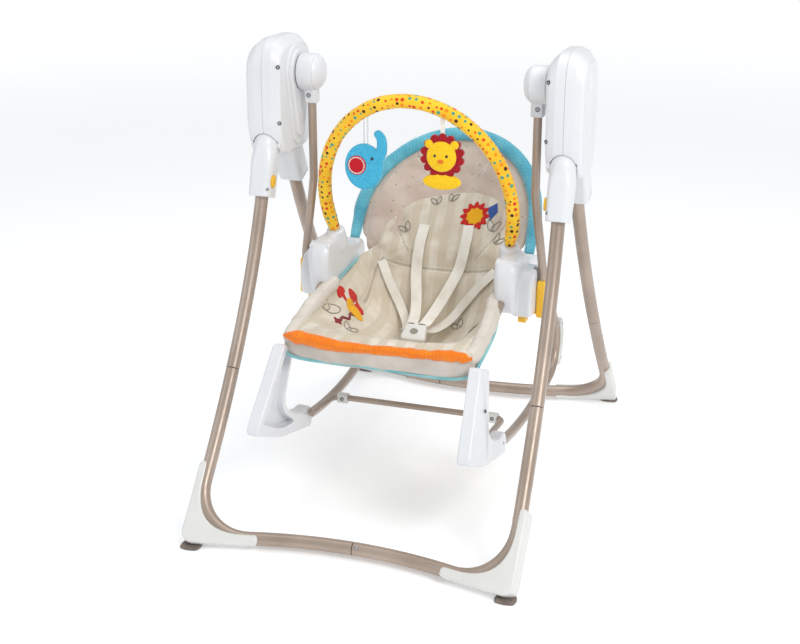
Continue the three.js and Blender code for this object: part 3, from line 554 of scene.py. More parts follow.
def solid(name, shape, material, sharp=35, subdivide=0):
    """An object in the row frame with smooth shading up to a crease angle."""
    mesh = mesh_of(name, shape, to_row(shape.points))
    mesh.validate()
    obj = linked(name, mesh)
    if subdivide:
        finer = obj.modifiers.new("finer", "SUBSURF")
        finer.levels = finer.render_levels = subdivide
        apply_modifiers(obj)
    mesh = obj.data
    mesh.materials.clear()
    mesh.materials.append(material)
    mesh.shade_smooth()
    if sharp < 180:
        mesh.set_sharp_from_angle(angle=math.radians(sharp))
        flatter = obj.modifiers.new("normals", "WEIGHTED_NORMAL")
        flatter.keep_sharp = True
        apply_modifiers(obj)
    return obj


def piece(name, shape, material, body, replaces=(), sharp=35, subdivide=0):
    obj = solid(name, shape, material, sharp, subdivide)
    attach(obj, body)
    if replaces:
        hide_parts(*replaces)
    return obj


def pair(name, shape, material, bodies, sharp=35):
    """A right-hand piece and its mirror image, each in place of the CAD node of its name and side. bodies
    names one body, or the right and the left one."""
    right, left = (bodies, bodies) if isinstance(bodies, str) else bodies
    for side, body, made in (("right", right, shape), ("left", left, shape.mirrored())):
        piece(f"{name}_{side}_visual", made, material, body, [f"{name}_{side}"], sharp)


def over_joint(name, shape, material, replaces=(), subdivide=0):
    """A soft piece that runs from the seat onto its reclining back; it is attached to no body."""
    obj = solid(name, shape, material, 180, subdivide)
    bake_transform(obj)
    if replaces:
        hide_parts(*replaces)
    return obj


def linear(hex_colour):
    values = [int(hex_colour[i : i + 2], 16) / 255 for i in (0, 2, 4)]
    return tuple(v / 12.92 if v <= 0.04045 else ((v + 0.055) / 1.055) ** 2.4 for v in values) + (1.0,)


class Surface:
    """A procedural material: a Principled shader and the nodes that feed it."""

    def __init__(self, name, slot):
        self.material = bpy.data.materials.new(name)
        self.material.use_nodes = True
        self.tree = self.material.node_tree
        self.shader = self.tree.nodes["Principled BSDF"]

    def node(self, kind, inputs=None, **settings):
        made = self.tree.nodes.new("ShaderNode" + kind)
        for key, value in settings.items():
            setattr(made, key, value)
        for key, value in (inputs or {}).items():
            self.feed(made.inputs[key], value)
        return made

    def feed(self, socket, value):
        if isinstance(value, bpy.types.NodeSocket):
            self.tree.links.new(value, socket)
        else:
            socket.default_value = value

    def sockets(self, values):
        for key, value in values.items():
            self.feed(self.shader.inputs[key], value)

    def math(self, operation, a, b=0.0, c=0.0):
        return self.node("Math", {0: a, 1: b, 2: c}, operation=operation).outputs[0]

    def between(self, value, low, high, start=0.0, end=1.0):
        made = self.node("MapRange", {0: value, 1: low, 2: high, 3: start, 4: end})
        made.interpolation_type = "SMOOTHSTEP"
        return made.outputs[0]

    def mix(self, share, a, b):
        made = self.node("Mix", data_type="RGBA")
        self.feed(made.inputs[0], share)
        self.feed(made.inputs[6], a)
        self.feed(made.inputs[7], b)
        return made.outputs[2]

    def where(self):
        return self.node("TexCoord").outputs["Object"]

    def noise(self, where, scale, detail=2.0, roughness=0.5):
        made = self.node("TexNoise", {"Vector": where, "Scale": scale, "Detail": detail})
        made.inputs["Roughness"].default_value = roughness
        return made.outputs[0]

    def cells(self, where, scale, randomness):
        """Flat Voronoi cells, whose outputs are a distance and a random colour."""
        inputs = {"Vector": where, "Scale": scale, "Randomness": randomness}
        return self.node("TexVoronoi", inputs, voronoi_dimensions="2D").outputs

    def steps(self, value, colours):
        """One of several plain colours, each from its own place on 0 to 1."""
        ramp = self.node("ValToRGB", {0: value})
        ramp.color_ramp.interpolation = "CONSTANT"
        stops = ramp.color_ramp.elements
        for i, (place, colour) in enumerate(colours):
            stop = stops[i] if i < 2 else stops.new(place)
            stop.position, stop.color = place, linear(colour)
        return ramp.outputs[0]

    def bump(self, height, distance, strength=1.0, over=None):
        made = self.node("Bump", {"Height": height, "Distance": distance, "Strength": strength})
        if over is not None:
            self.feed(made.inputs["Normal"], over)
        return made.outputs[0]

    def edges(self, low, high):
        """1 on worn outer edges, from how sharply the surface turns."""
        pointed = self.node("NewGeometry").outputs["Pointiness"]
        return self.between(pointed, low, high)


def painted_metal():
    """Satin taupe metallic paint over steel tube, a little thinner and brighter along edges."""
    s = Surface("taupe_paint", "taupe_metal")
    where = s.where()
    flakes = s.noise(where, 1400, 1)
    drift = s.noise(where, 9, 3)
    colour = s.mix(s.between(drift, 0.3, 0.7), linear("a08f82"), linear("b09f92"))
    colour = s.mix(s.between(flakes, 0.62, 0.8, 0, 0.35), colour, linear("c6b8ac"))
    colour = s.mix(s.edges(0.56, 0.7), colour, linear("cfc6bf"))
    rough = s.between(s.noise(where, 60, 4), 0.25, 0.75, 0.30, 0.42)
    skin_bump = s.bump(s.noise(where, 420, 2), 0.00012, 0.5)
    s.sockets({"Base Color": colour, "Roughness": rough, "Normal": skin_bump})
    s.sockets({"Metallic": 0.45, "Coat Weight": 0.25, "Coat Roughness": 0.22})
    return s.material


def moulded_plastic(name, slot, colour, shade, rough=0.3, grain=0.5):
    """Injection-moulded plastic: fine spark grain, faint flow marks and uneven polish."""
    s = Surface(name, slot)
    where = s.where()
    flow = s.noise(where, 14, 3)
    base = s.mix(s.between(flow, 0.3, 0.75), linear(colour), linear(shade))
    roughness = s.between(s.noise(where, 25, 2), 0.25, 0.75, rough - 0.015, rough + 0.03)
    fine = s.bump(s.noise(where, 1700, 2), 0.00005, grain)
    s.sockets({"Base Color": base, "Roughness": roughness, "Normal": fine})
    s.sockets({"IOR": 1.49, "Coat Weight": 0.12, "Coat Roughness": 0.12})
    return s.material


def rubber():
    s = Surface("taupe_grip", "taupe_rubber")
    where = s.where()
    dust = s.noise(where, 70, 4)
    base = s.mix(s.between(dust, 0.35, 0.7), linear("6f645d"), linear("857a72"))
    s.sockets({"Base Color": base, "Roughness": 0.82})
    s.sockets({"Normal": s.bump(s.noise(where, 900, 3), 0.0002, 0.6)})
    return s.material


def steel():
    s = Surface("screw_steel", "bare_steel")
    where = s.where()
    base = s.mix(s.noise(where, 300, 3), linear("8d9096"), linear("b9bcc1"))
    rough = s.between(s.noise(where, 500, 2), 0.2, 0.8, 0.22, 0.45)
    s.sockets({"Base Color": base, "Roughness": rough, "Metallic": 0.95})
    s.sockets({"Normal": s.bump(s.noise(where, 1500, 2), 0.00005, 0.4)})
    return s.material


def pattern(s):
    """The fabric's own across and along, in millimetres, and the distance to the nearest seam."""
    cloth = s.node("Attribute", attribute_name="cloth", attribute_type="GEOMETRY").outputs["Vector"]
    across, along, seam = s.node("SeparateXYZ", {0: cloth}).outputs
    flat = s.node("CombineXYZ", {0: across, 1: along}).outputs[0]
    return flat, across, along, seam


def wave(s, position, period):
    """0 to 1 and back once every period of millimetres."""
    turn = s.math("MULTIPLY", position, 2 * math.pi / period)
    return s.math("MULTIPLY_ADD", s.math("SINE", turn), 0.5, 0.5)


def woven(name, slot, light, dark, thread=1.5, sheen=0.25, depth=0.00022, stripes=0.0, finish=None):
    """A woven fabric: crossing threads, uneven dye, soft creases and stitched seams, with painted shade
    between the threads and along the seams.
    """
    s = Surface(name, slot)
    cloth, across, along, seam = pattern(s)
    warp, weft = wave(s, across, thread), wave(s, along, thread)
    over = s.math("MAXIMUM", s.math("MULTIPLY", warp, 0.95), weft)
    uneven = s.noise(cloth, 0.018, 4)
    slub = s.noise(cloth, 0.9, 2)
    base = s.mix(s.between(uneven, 0.3, 0.72), linear(light), linear(dark))
    base = s.mix(s.between(slub, 0.4, 0.8, 0, 0.22), base, linear(dark))
    # painted shade: the colour darkens where the crossing threads dip, between them
    base = s.mix(s.math("MULTIPLY", s.between(over, 0.25, 0.0), 0.25), base, linear(dark))
    if stripes:
        stripe = s.between(wave(s, across, stripes), 0.42, 0.58, 0, 0.7)
        base = s.mix(stripe, base, linear(dark))
    if finish is not None:
        base = finish(s, base, cloth, across, along)
    # painted shade: the fabric darkens towards each sewn seam, as the shade in the seam's groove
    sewn = s.between(seam, 0.6, 3.2, 0.55, 0)
    base = s.mix(sewn, base, s.mix(0.45, linear(dark), (0.05, 0.04, 0.035, 1)))
    dashes = s.between(wave(s, s.math("ADD", across, along), 5.5), 0.35, 0.5)
    beside = s.math("MULTIPLY", s.between(seam, 3.2, 3.7), s.between(seam, 5.2, 4.7))
    stitch = s.math("MULTIPLY", beside, dashes)
    base = s.mix(s.math("MULTIPLY", stitch, 0.6), base, s.mix(0.5, linear(light), (1, 1, 1, 1)))
    weave = s.bump(over, depth, 0.55)
    creases = s.bump(s.noise(cloth, 0.06, 3), 0.004, 0.18, weave)
    threads = s.bump(stitch, 0.0006, 0.7, creases)
    s.sockets({"Base Color": base, "Roughness": 0.92, "Normal": threads})
    s.sockets({"Sheen Weight": sheen, "Sheen Roughness": 0.45, "Specular IOR Level": 0.25})
    return s.material


def speckled(s, base, cloth, *_):
    """Scattered small printed flecks in four soft colours."""
    cells = s.cells(cloth, 0.03, 0.85)
    pick = s.node("SeparateColor", {0: cells["Color"]}).outputs[0]
    size = s.between(pick, 0.0, 1.0, 0.045, 0.075)
    spot = s.math("LESS_THAN", cells["Distance"], size)
    colours = ((0, "8d6a63"), (0.25, "7f9aa3"), (0.5, "8f9a80"), (0.75, "c08f86"))
    return s.mix(s.math("MULTIPLY", spot, 0.8), base, s.steps(pick, colours))


def dotted(s, base, cloth, *_):
    """Printed dots of several sizes in red, orange, teal and dark brown."""
    cells = s.cells(cloth, 0.088, 0.62)
    split = s.node("SeparateColor", {0: cells["Color"]})
    size = s.between(split.outputs[1], 0.0, 1.0, 0.19, 0.34)
    spot = s.between(s.math("SUBTRACT", size, cells["Distance"]), 0.0, 0.025)
    colours = ((0, "d9431f"), (0.3, "ee8a1c"), (0.55, "4f9c83"), (0.8, "4a2a20"))
    return s.mix(spot, base, s.steps(split.outputs[0], colours))


def quilted(s, base, _, across, along):
    """Short slanting stitches across the band, with a darker thread."""
    slant = s.math("ADD", along, s.math("MULTIPLY", across, 0.55))
    thread = s.between(wave(s, slant, 8.0), 0.93, 0.99)
    broken = s.between(wave(s, across, 9.0), 0.3, 0.5)
    return s.mix(s.math("MULTIPLY", s.math("MULTIPLY", thread, broken), 0.55), base, linear("2c6f86"))


def plush(name, slot, light, dark, pile=0.0016):
    """Short-pile plush: clumped fibres with painted shade between the clumps, deep sheen and uneven dye."""
    s = Surface(name, slot)
    where = s.where()
    clumps = s.noise(where, 380, 4, 0.65)
    fibres = s.noise(where, 1500, 2)
    tone = s.noise(where, 30, 2)
    # painted shade: darker between the clumps, lighter on their raised tops
    base = s.mix(s.between(clumps, 0.35, 0.7), linear(dark), linear(light))
    base = s.mix(s.between(tone, 0.3, 0.7, 0, 0.3), base, linear(dark))
    coarse = s.bump(clumps, pile, 0.5)
    s.sockets({"Base Color": base, "Roughness": 0.95, "Normal": s.bump(fibres, 0.0004, 0.5, coarse)})
    s.sockets({"Sheen Weight": 0.5, "Sheen Roughness": 0.4, "Specular IOR Level": 0.2})
    return s.material


def terry(name, slot, light, dark):
    """Looped terry with soft cross ribs, painted shade between the loops and in the ribs' troughs, and
    painted highlights as lighter, yellower patches.
    """
    s = Surface(name, slot)
    cloth, _, along, _ = pattern(s)
    loops = s.cells(cloth, 0.75, 0.7)["Distance"]
    ribs = wave(s, s.math("ADD", along, s.math("MULTIPLY", s.noise(cloth, 0.05, 2), 9.0)), 7.0)
    # painted shade: darker away from the loops' middles and in the troughs of the ribs
    base = s.mix(s.between(loops, 0.1, 0.6), linear(light), linear(dark))
    base = s.mix(s.between(ribs, 0.4, 0.0, 0, 0.35), base, linear(dark))
    # painted highlights: lighter, yellower patches spread at random over the terry
    base = s.mix(s.between(s.noise(cloth, 0.02, 3), 0.45, 0.75, 0, 0.45), base, linear("ffa02a"))
    height = s.bump(ribs, 0.0016, 0.45)
    s.sockets({"Base Color": base, "Roughness": 0.95, "Normal": s.bump(loops, 0.0008, 0.55, height)})
    s.sockets({"Sheen Weight": 0.35, "Sheen Roughness": 0.5, "Specular IOR Level": 0.2})
    return s.material


def flat_print(name, colour, shade):
    """Ink printed on the liner, with a fine fibre grain of its own."""
    s = Surface(name, "seat_fabric")
    where = s.where()
    fibres = s.noise(where, 900, 3)
    base = s.mix(s.between(fibres, 0.35, 0.7), linear(colour), linear(shade))
    s.sockets({"Base Color": base, "Roughness": 0.85, "Normal": s.bump(fibres, 0.0002, 0.5)})
    s.sockets({"Sheen Weight": 0.15, "Specular IOR Level": 0.25})
    return s.material


def clear_film():
    """The elephant's two clear plastic straps."""
    s = Surface("clear_strap", "toy_blue")
    haze = s.noise(s.where(), 220, 2)
    s.sockets({"Base Color": s.mix(haze, linear("eef0f2"), linear("dfe3e8")), "Roughness": 0.22})
    s.sockets({"Transmission Weight": 0.55, "IOR": 1.4})
    return s.material


PAINT = painted_metal()
WHITE = moulded_plastic("white_shell", "white_plastic", "dcdee1", "d8dade", 0.29, 0.2)
CREAM = moulded_plastic("white_fittings", "white_plastic", "dcdcd9", "d6d6d2", 0.34, 0.3)
YELLOW = moulded_plastic("yellow_fittings", "yellow_plastic", "efbf2f", "dfa722", 0.3)
# DARK serves the black parts inside the housing and the tube spigots, and is painted shade in the screws'
# counterbores
DARK = moulded_plastic("black_plastic_and_recess_shade", "black_plastic", "26262a", "38383d", 0.5)
GEAR = moulded_plastic("gear_nylon", "gear_plastic", "e4e0d4", "d5cfbf", 0.45)
BOARD = moulded_plastic("board_lacquer", "board_green", "2f6b46", "24553a", 0.35)
RUBBER = rubber()
STEEL = steel()
BAND = woven("aqua_band", "seat_fabric", "74c3d6", "4fa5bd", 1.3, 0.45, 0.0003, finish=quilted)
PIPING = woven("aqua_piping", "seat_fabric", "93c6ca", "6cacb4", 1.1, 0.35, 0.0002)
PANEL = woven("back_panel_cloth", "seat_fabric", "d3c4b8", "c3b1a4", 1.4, 0.25, finish=speckled)
LINER = woven("liner_cloth", "seat_fabric", "e3dccf", "cbbfab", 1.6, 0.22, stripes=34.0)
SIDE = woven("bolster_cloth", "seat_fabric", "e0dad1", "cdc5ba", 1.5, 0.22, stripes=34.0)
FLAP = woven("flap_cloth", "seat_fabric", "cfc8c0", "b9b0a6", 1.4, 0.2)
WEBBING = woven("white_webbing", "seat_fabric", "f1eee6", "ddd7cb", 2.2, 0.15, 0.0005)
TOY_CLOTH = woven("toy_bar_cloth", "toy_yellow", "f8cc35", "efb524", 1.2, 0.3, finish=dotted)
ORANGE = terry("orange_terry", "seat_fabric", "ff8f1f", "e8700f")
LION_YELLOW = plush("lion_yellow", "toy_yellow", "fbd52f", "edbb1c")
LION_RED = plush("lion_mane_red", "toy_yellow", "b8202c", "8f1420")
LION_NOSE = plush("lion_nose_orange", "toy_yellow", "ef8a3a", "d96f22", 0.0006)
BLUE_PLUSH = plush("elephant_blue", "toy_blue", "58bfe0", "3ba3c9")
RED_FELT = plush("elephant_red", "toy_blue", "d21e2e", "b01523", 0.0006)
WHITE_TRIM = plush("white_trim", "toy_blue", "f6f1ea", "e4dccf", 0.0004)
EYE_BLACK = moulded_plastic("toy_eye", "toy_blue", "141416", "202024", 0.2)
CLEAR = clear_film()
INK_GREY = flat_print("ink_grey", "8b857c", "a09a90")
INK_RED = flat_print("ink_red", "cf2a24", "b32019")
INK_YELLOW = flat_print("ink_yellow", "f0b422", "dd9c16")
INK_BLUE = flat_print("ink_blue", "3f5fa8", "334f90")
INK_PLUM = flat_print("ink_plum", "8e2530", "761d28")


# ------------------------------------------------------------------ camera, light and floor
def add_camera():
    azimuth, elevation = math.radians(18.74), math.radians(19.47)
    level = math.cos(elevation)
    back = Vector((math.sin(azimuth) * level, -math.cos(azimuth) * level, math.sin(elevation)))
    data = bpy.data.cameras.new("camera")
    data.sensor_width = 36
    data.lens = 62.95
    data.clip_start, data.clip_end = 0.05, 60
    camera = bpy.data.objects.new("camera", data)
    bpy.context.scene.collection.objects.link(camera)
    camera.location = (0.790, -2.4805, 1.230)
    camera.rotation_euler = (-back).to_track_quat("-Z", "Y").to_euler()
    bpy.context.scene.camera = camera


def add_area_light(name, place, target, size, power, colour=(1, 1, 1)):
    data = bpy.data.lights.new(name, "AREA")
    data.shape = "RECTANGLE"
    data.size, data.size_y = size
    data.energy = power
    data.color = colour
    light = bpy.data.objects.new(name, data)
    bpy.context.scene.collection.objects.link(light)
    light.location = place
    light.rotation_euler = (Vector(target) - Vector(place)).to_track_quat("-Z", "Y").to_euler()


def add_light():
    scene = bpy.context.scene
    scene.view_settings.view_transform = "Standard"
    world = bpy.data.worlds.new("studio")
    world.use_nodes = True
    background = world.node_tree.nodes["Background"]
    background.inputs["Color"].default_value = (0.97, 0.985, 1, 1)
    background.inputs["Strength"].default_value = 0.60
    scene.world = world
    add_area_light("key", (2.3, -1.9, 2.7), (0, 0, 0.45), (1.4, 1.4), 58, (1, 0.98, 0.95))
    add_area_light("fill", (-2.6, -2.0, 1.7), (0, 0, 0.45), (2.2, 1.8), 13, (0.93, 0.96, 1))
    add_area_light("top", (0.1, 0.3, 3.2), (0, 0, 0.3), (2.4, 2.4), 30)


def add_floor():
    """A pale studio floor that runs on far behind the object and stays bright there."""
    sides = 64
    circle = np.array(ellipse(1, 1, sides=sides))
    rings = [np.column_stack([circle * radius, np.zeros(sides)]) for radius in (0.01, 1, 2, 4, 8, 16, 40)]
    shape = skin(rings, True, False)
    mesh = bpy.data.meshes.new("studio_floor")
    mesh.from_pydata(shape.points.tolist(), [], shape.faces)
    mesh.flip_normals()
    mesh.shade_smooth()
    s = Surface("studio_paper", "white_plastic")
    where = s.where()
    paper = s.noise(where, 1.5, 2)
    distance = s.node("VectorMath", {0: where}, operation="LENGTH").outputs["Value"]
    tint = s.mix(paper, (0.9, 0.91, 0.93, 1), (0.93, 0.94, 0.95, 1))
    s.sockets({"Base Color": tint, "Roughness": 0.95})
    s.sockets({"Specular IOR Level": 0.1, "Emission Color": (1, 1, 1, 1)})
    s.sockets({"Emission Strength": s.between(distance, 2.0, 7.0, 0.22, 0.46)})
    mesh.materials.append(s.material)
    linked("studio_floor", mesh)


# ------------------------------------------------------------------ screws and small hardware
def facing(direction, place):
    """Turns a shape made along +X to face a direction, and puts it at a place."""
    turn = Vector((1, 0, 0)).rotation_difference(Vector(direction).normalized())
    return Matrix.Translation(Vector(place)) @ turn.to_matrix().to_4x4()


def screw_parts(radius):
    """A counterbore ring, dark as the painted shade in the screw's hole, and the cross-recessed head in it,
    made along +X at the origin.
    """
    rim = [(-2, radius), (0.15, radius), (0.3, radius - 0.25), (0.3, radius * 0.72), (-0.8, radius * 0.68)]
    crown = [(-1.5, radius * 0.6), (0.0, radius * 0.6), (0.45, radius * 0.42), (0.62, radius * 0.15)]
    ring, head = lathe(rim, (0, 0), 28), lathe(crown, (0, 0), 24)
    arm, width = radius * 0.42, radius * 0.1
    slots = [plate(box_outline(-a, -b, a, b), 0.05, 2, 0.01, 1) for a, b in ((arm, width), (width, arm))]
    return ring, cut(head, *slots)


SCREW_RING, SCREW_HEAD = screw_parts(3.9)


def screws(name, places, body):
    """Cross-head screws; each place is a point, a direction and a size."""
    rings, heads = [], []
    for place, direction, size in places:
        spot = facing(direction, place) @ Matrix.Scale(size, 4)
        rings.append(SCREW_RING.moved(spot))
        heads.append(SCREW_HEAD.moved(spot))
    # the dark rings round the heads are painted shade in the screw holes
    piece(f"{name}_counterbore_shade_rings", joined(rings), DARK, body, sharp=40)
    piece(f"{name}_screws", joined(heads), STEEL, body, sharp=40)


def both_sides(places):
    mirrored = [((-x, y, z), (-dx, dy, dz), size) for (x, y, z), (dx, dy, dz), size in places]
    return places + mirrored


def domed_button(radius, height):
    steps = [math.pi / 2 * i / 6 for i in range(7)]
    profile = [(-3, radius)] + [(height * math.sin(t), radius * math.cos(t)) for t in steps]
    return lathe(profile, (0, 0), 24)


# ------------------------------------------------------------------ stand
def leg_point(leg, share):
    y, z = quadratic(leg["top"], leg["bend"], leg["foot"], share)
    drop = (SOCKET_Z - z) / (SOCKET_Z - CROSSBAR_Z)
    return np.array((lerp(LEG_TOP_X, LEG_FOOT_X, drop), y, z))


def leg_up(leg):
    return unit(leg_point(leg, 0) - leg_point(leg, 0.02))


def leg_stations(leg, start, end, count):
    return [leg_point(leg, lerp(start, end, i / (count - 1))) for i in range(count)]


def crossbar_point(leg, x):
    bow = CROSSBAR_BOW["depth"] * (1 - (x / CROSSBAR_BOW["reach"]) ** 2)
    return np.array((x, leg["foot"][0] - math.copysign(bow, leg["foot"][0]), CROSSBAR_Z))


def foot_corner(leg):
    corner = crossbar_point(leg, LEG_FOOT_X - 27)
    corner[0] = LEG_FOOT_X
    return corner


def base_stations(leg, joint_x):
    """Down the leg, round the foot corner and along the crossbar."""
    start, corner = leg_point(leg, LEG_CORNER), foot_corner(leg)
    end = crossbar_point(leg, CROSSBAR_CORNER_X)
    pull = 0.55
    bend = (start, lerp(start, corner, pull), lerp(end, corner, pull), end)
    arc = [cubic(*bend, i / 16) for i in range(17)]
    count = max(8, int((CROSSBAR_CORNER_X - joint_x) / 14))
    run = [crossbar_point(leg, lerp(CROSSBAR_CORNER_X, joint_x, i / count)) for i in range(1, count + 1)]
    return leg_stations(leg, LEG_SEAM, LEG_CORNER, 14)[:-1] + arc + run


def foot_cover(leg):
    """The gusset in the outer corner of a foot, grooved for the tube."""
    corner = Vector(foot_corner(leg))
    inward = (Vector(crossbar_point(leg, CROSSBAR_CORNER_X)) - corner).normalized()
    slope = Vector((leg["bend"][0] - leg["foot"][0], leg["bend"][1] - leg["foot"][1])).normalized()
    up_leg = Vector((0, slope.x, slope.y))
    through = inward.cross(up_leg).normalized()
    across = through.cross(inward)
    lean = COVER_TOP * math.tan(math.pi / 2 - inward.angle(up_leg))
    corners = [(COVER_INNER, -14, 9), (-17, -14, 27), (lean - 15, COVER_TOP, 8), (lean + 1, COVER_TOP, 8)]
    outline = rounded(corners + [(1, 4, 100), (COVER_INNER, 4, 8)], 12)
    basis = Matrix((through, inward, across)).transposed().to_4x4()
    shape = plate(outline, -COVER_THICKNESS / 2, COVER_THICKNESS / 2, 5, 4)
    shape = shape.moved(Matrix.Translation(corner) @ basis)
    groove = sweep(base_stations(leg, 0), ellipse(LEG_RADIUS + 0.4, LEG_RADIUS + 0.4, sides=32))
    y = leg["foot"][0]
    underneath = plate(box_outline(y - 120, -60, y + 120, 6.3), 100, 400, 0.5, 1)
    return cut(shape, underneath, groove)


def foot_pad(leg):
    """A rubber pad with two low bumps."""
    rows, columns = 17, 29
    half_width, half_depth = 19, 16
    points = []
    for layer in (0, 1):
        for i in range(rows):
            for j in range(columns):
                u, v = 2 * j / (columns - 1) - 1, 2 * i / (rows - 1) - 1
                x = half_width * u * math.sqrt(1 - 0.32 * v * v)
                y = half_depth * v * math.sqrt(1 - 0.32 * u * u)
                rim = (1 - abs(u) ** 8) * (1 - abs(v) ** 8)
                waist = 1 - 0.35 * math.exp(-((u * half_width) / 3.2) ** 2)
                z = 0.9 * (1 - rim**0.5) if layer == 0 else 3 + 3.2 * rim**0.5 * waist
                points.append((x, y, z))
    size = rows * columns
    faces = turned_over(grid_faces(rows, columns)) + grid_faces(rows, columns, size)
    rim = list(range(columns))
    rim += [i * columns + columns - 1 for i in range(1, rows)]
    rim += [(rows - 1) * columns + j for j in reversed(range(columns - 1))]
    rim += [i * columns for i in reversed(range(1, rows - 1))]
    for a, b in zip(rim, rim[1:] + rim[:1]):
        faces.append((a, b, size + b, size + a))
    outwards = math.copysign(4, leg["foot"][0])
    place = Matrix.Translation((LEG_FOOT_X - 3, leg["foot"][0] + outwards, 0))
    return Shape(points, faces).moved(place)


def add_stand():
    for name, leg, body, joint in (
        ("front", FRONT_LEG, "front_legs", 0),
        ("rear", REAR_LEG, "stand", REAR_JOINT_X),
    ):
        up = leg_up(leg)
        tip = leg_point(leg, 0) + up * TUBE_INSERT
        upper = [tip] + leg_stations(leg, 0, LEG_SEAM, 30)
        upper[-1] = upper[-1] + (0, 0, 1.0)
        pair(f"{name}_upper_tube", tube(upper, LEG_RADIUS), PAINT, body)
        right = base_stations(leg, joint + TUBE_GAP)
        left = base_stations(leg, -joint + TUBE_GAP)
        node = f"{name}_base_tube"
        piece(f"{node}_right_visual", tube(right, LEG_RADIUS), PAINT, body, [f"{node}_right"])
        piece(f"{node}_left_visual", tube(left, LEG_RADIUS).mirrored(), PAINT, body, [f"{node}_left"])
        spigot = LEG_RADIUS - SPIGOT_INSET
        collar = tube([leg_point(leg, LEG_SEAM - 0.012), leg_point(leg, LEG_SEAM + 0.012)], spigot)
        sleeve = tube([crossbar_point(leg, joint - 8), crossbar_point(leg, joint + 8)], spigot)
        piece(f"{name}_tube_spigots", joined([collar, collar.mirrored(), sleeve]), DARK, body)
        pair(f"{name}_foot_cover", foot_cover(leg), CREAM, body, 38)
        pair(f"{name}_foot_pad", foot_pad(leg), RUBBER, body, 50)
        aim = np.array((0, -0.72, 0.69))
        spot = crossbar_point(leg, joint + 9) + aim * (LEG_RADIUS - 0.3)
        buttons = [domed_button(3.4, 2.4).moved(facing(aim, spot))]
        rivet_at = leg_point(leg, 0.84) + np.array((-LEG_RADIUS + 0.6, 0, 0))
        rivet = domed_button(3.2, 1.3).moved(facing((-1, 0, 0), rivet_at))
        buttons += [rivet, rivet.mirrored()]
        piece(f"{name}_spring_buttons", joined(buttons), STEEL, body)


# ------------------------------------------------------------------ fold joint
def lean_with_leg(shape):
    turn = Matrix.Rotation(-FRONT_LEAN, 4, "X")
    return shape.moved(Matrix.Translation((0, *FOLD_PIVOT)) @ turn)


def socket_body(width, depth, head, bottom):
    """A bullet-shaped socket hanging from the fold pivot: round at its top, squarer towards its mouth."""
    sides = 44
    levels = [head * math.cos(t) for t in np.linspace(0.12, math.pi / 2, 12)]
    levels += list(np.linspace(-6, bottom + 4, 12)) + [bottom + 1.2, bottom]
    rings = []
    for level in levels:
        dome = math.sqrt(max(1 - (level / head) ** 2, 0)) if level > 0 else 1
        power = lerp(2, 3.4, smoothstep(-level, 0, 40))
        flare = 1 - 0.06 * smoothstep(-level, 30, 90)
        mouth = 1 - 1.2 / depth if level == bottom else 1
        half = (width * dome * flare * mouth, lerp(head, depth, smoothstep(-level, 0, 12)) * dome * mouth)
        section = np.array(superellipse(*half, power, sides))
        rings.append(np.column_stack([section[:, 0] + SOCKET_X, section[:, 1], np.full(sides, level)]))
    return skin(rings[::-1])


def leg_bore(leg):
    radius = LEG_RADIUS + 0.5
    up = leg_up(leg)
    mouth = leg_point(leg, 0) - up * 14
    return sweep([mouth, mouth + up * (TUBE_INSERT + 17)], ellipse(radius, radius, sides=36))


def socket_sweep():
    """The room that the front socket sweeps between locked and folded."""
    pivot = np.array(FOLD_PIVOT)
    turns = np.linspace(-FRONT_LEAN, FOLD_ANGLE - FRONT_LEAN, 4)
    down = [np.array((math.sin(a), -math.cos(a))) for a in turns]
    side = [np.array((math.cos(a), math.sin(a))) for a in turns]
    half_width, half_depth, reach = 25, 27, 140
    wedge = [pivot - side[0] * half_depth, pivot - side[0] * half_depth + down[0] * reach]
    wedge += [pivot + side[-1] * half_depth + down[-1] * reach, pivot + side[-1] * half_depth]
    legs_room = plate(wedge, SOCKET_X - half_width, SOCKET_X + half_width, 2, 2)
    steps = np.linspace(0.04, math.pi - 0.04, 19)
    profile = [(SOCKET_X - half_width * math.cos(t), 27.4 * math.sin(t)) for t in steps]
    ball = lathe(profile, FOLD_PIVOT, 44)
    return union(legs_room, ball)


def add_fold_joint():
    body = lean_with_leg(socket_body(23.6, 25, 26, -SOCKET_LENGTH))
    pocket = lean_with_leg(plate(ellipse(7.4, 12.4, FOLD_BUTTON_AT), 250, 271.6, 0.4, 1))
    pin_bore = lathe([(240, 6.4), (330, 6.4)], FOLD_PIVOT, 28)
    shape = cut(body, leg_bore(FRONT_LEG), pocket, pin_bore)
    pair("front_leg_socket", shape, WHITE, "front_legs", 40)
    cap = lean_with_leg(plate(ellipse(7, 12, FOLD_BUTTON_AT), 259.2, 267.7, 1.6, 4, crown=0.8))
    bodies = ("fold_button_right", "fold_button_left")
    pair("fold_button", cap, YELLOW, bodies)
    marks = lean_with_leg(Shape([(268, -20.6, -84), (267.45, -21.43, -84)], []))
    spot, ahead = marks.points
    screws("socket", both_sides([(tuple(spot), tuple(ahead - spot), 0.8)]), "front_legs")


# ------------------------------------------------------------------ housings
CASING = rounded(
    [(-86, 863, 62), (-87, 694, 28), (-66, 640, 20), (56, 640, 20), (82, 690, 30), (82, 863, 62)], 14
)
CASING_ROOM = rounded([(-80, 850, 50), (-80, 694, 20), (58, 694, 20), (58, 850, 50)], 8)
REAR_SOCKET = rounded([(-7, 662, 9), (40, 567, 9), (79, 586, 9), (38, 670, 14), (6, 686, 12)], 6)


def teardrop(radius, tip, bottom):
    """A round boss about the axle that narrows to a rounded tip below."""
    turns = np.linspace(-0.28, math.pi + 0.28, 40)
    shoulder = [(radius * math.cos(t), HUB_Z + radius * math.sin(t)) for t in turns]
    left = [(-tip, bottom + tip * 0.8), (0, bottom - tip * 0.55), (tip, bottom + tip * 0.8)]
    tip_arc = [tuple(quadratic(*left, i / 12)) for i in range(13)]
    return shoulder + tip_arc


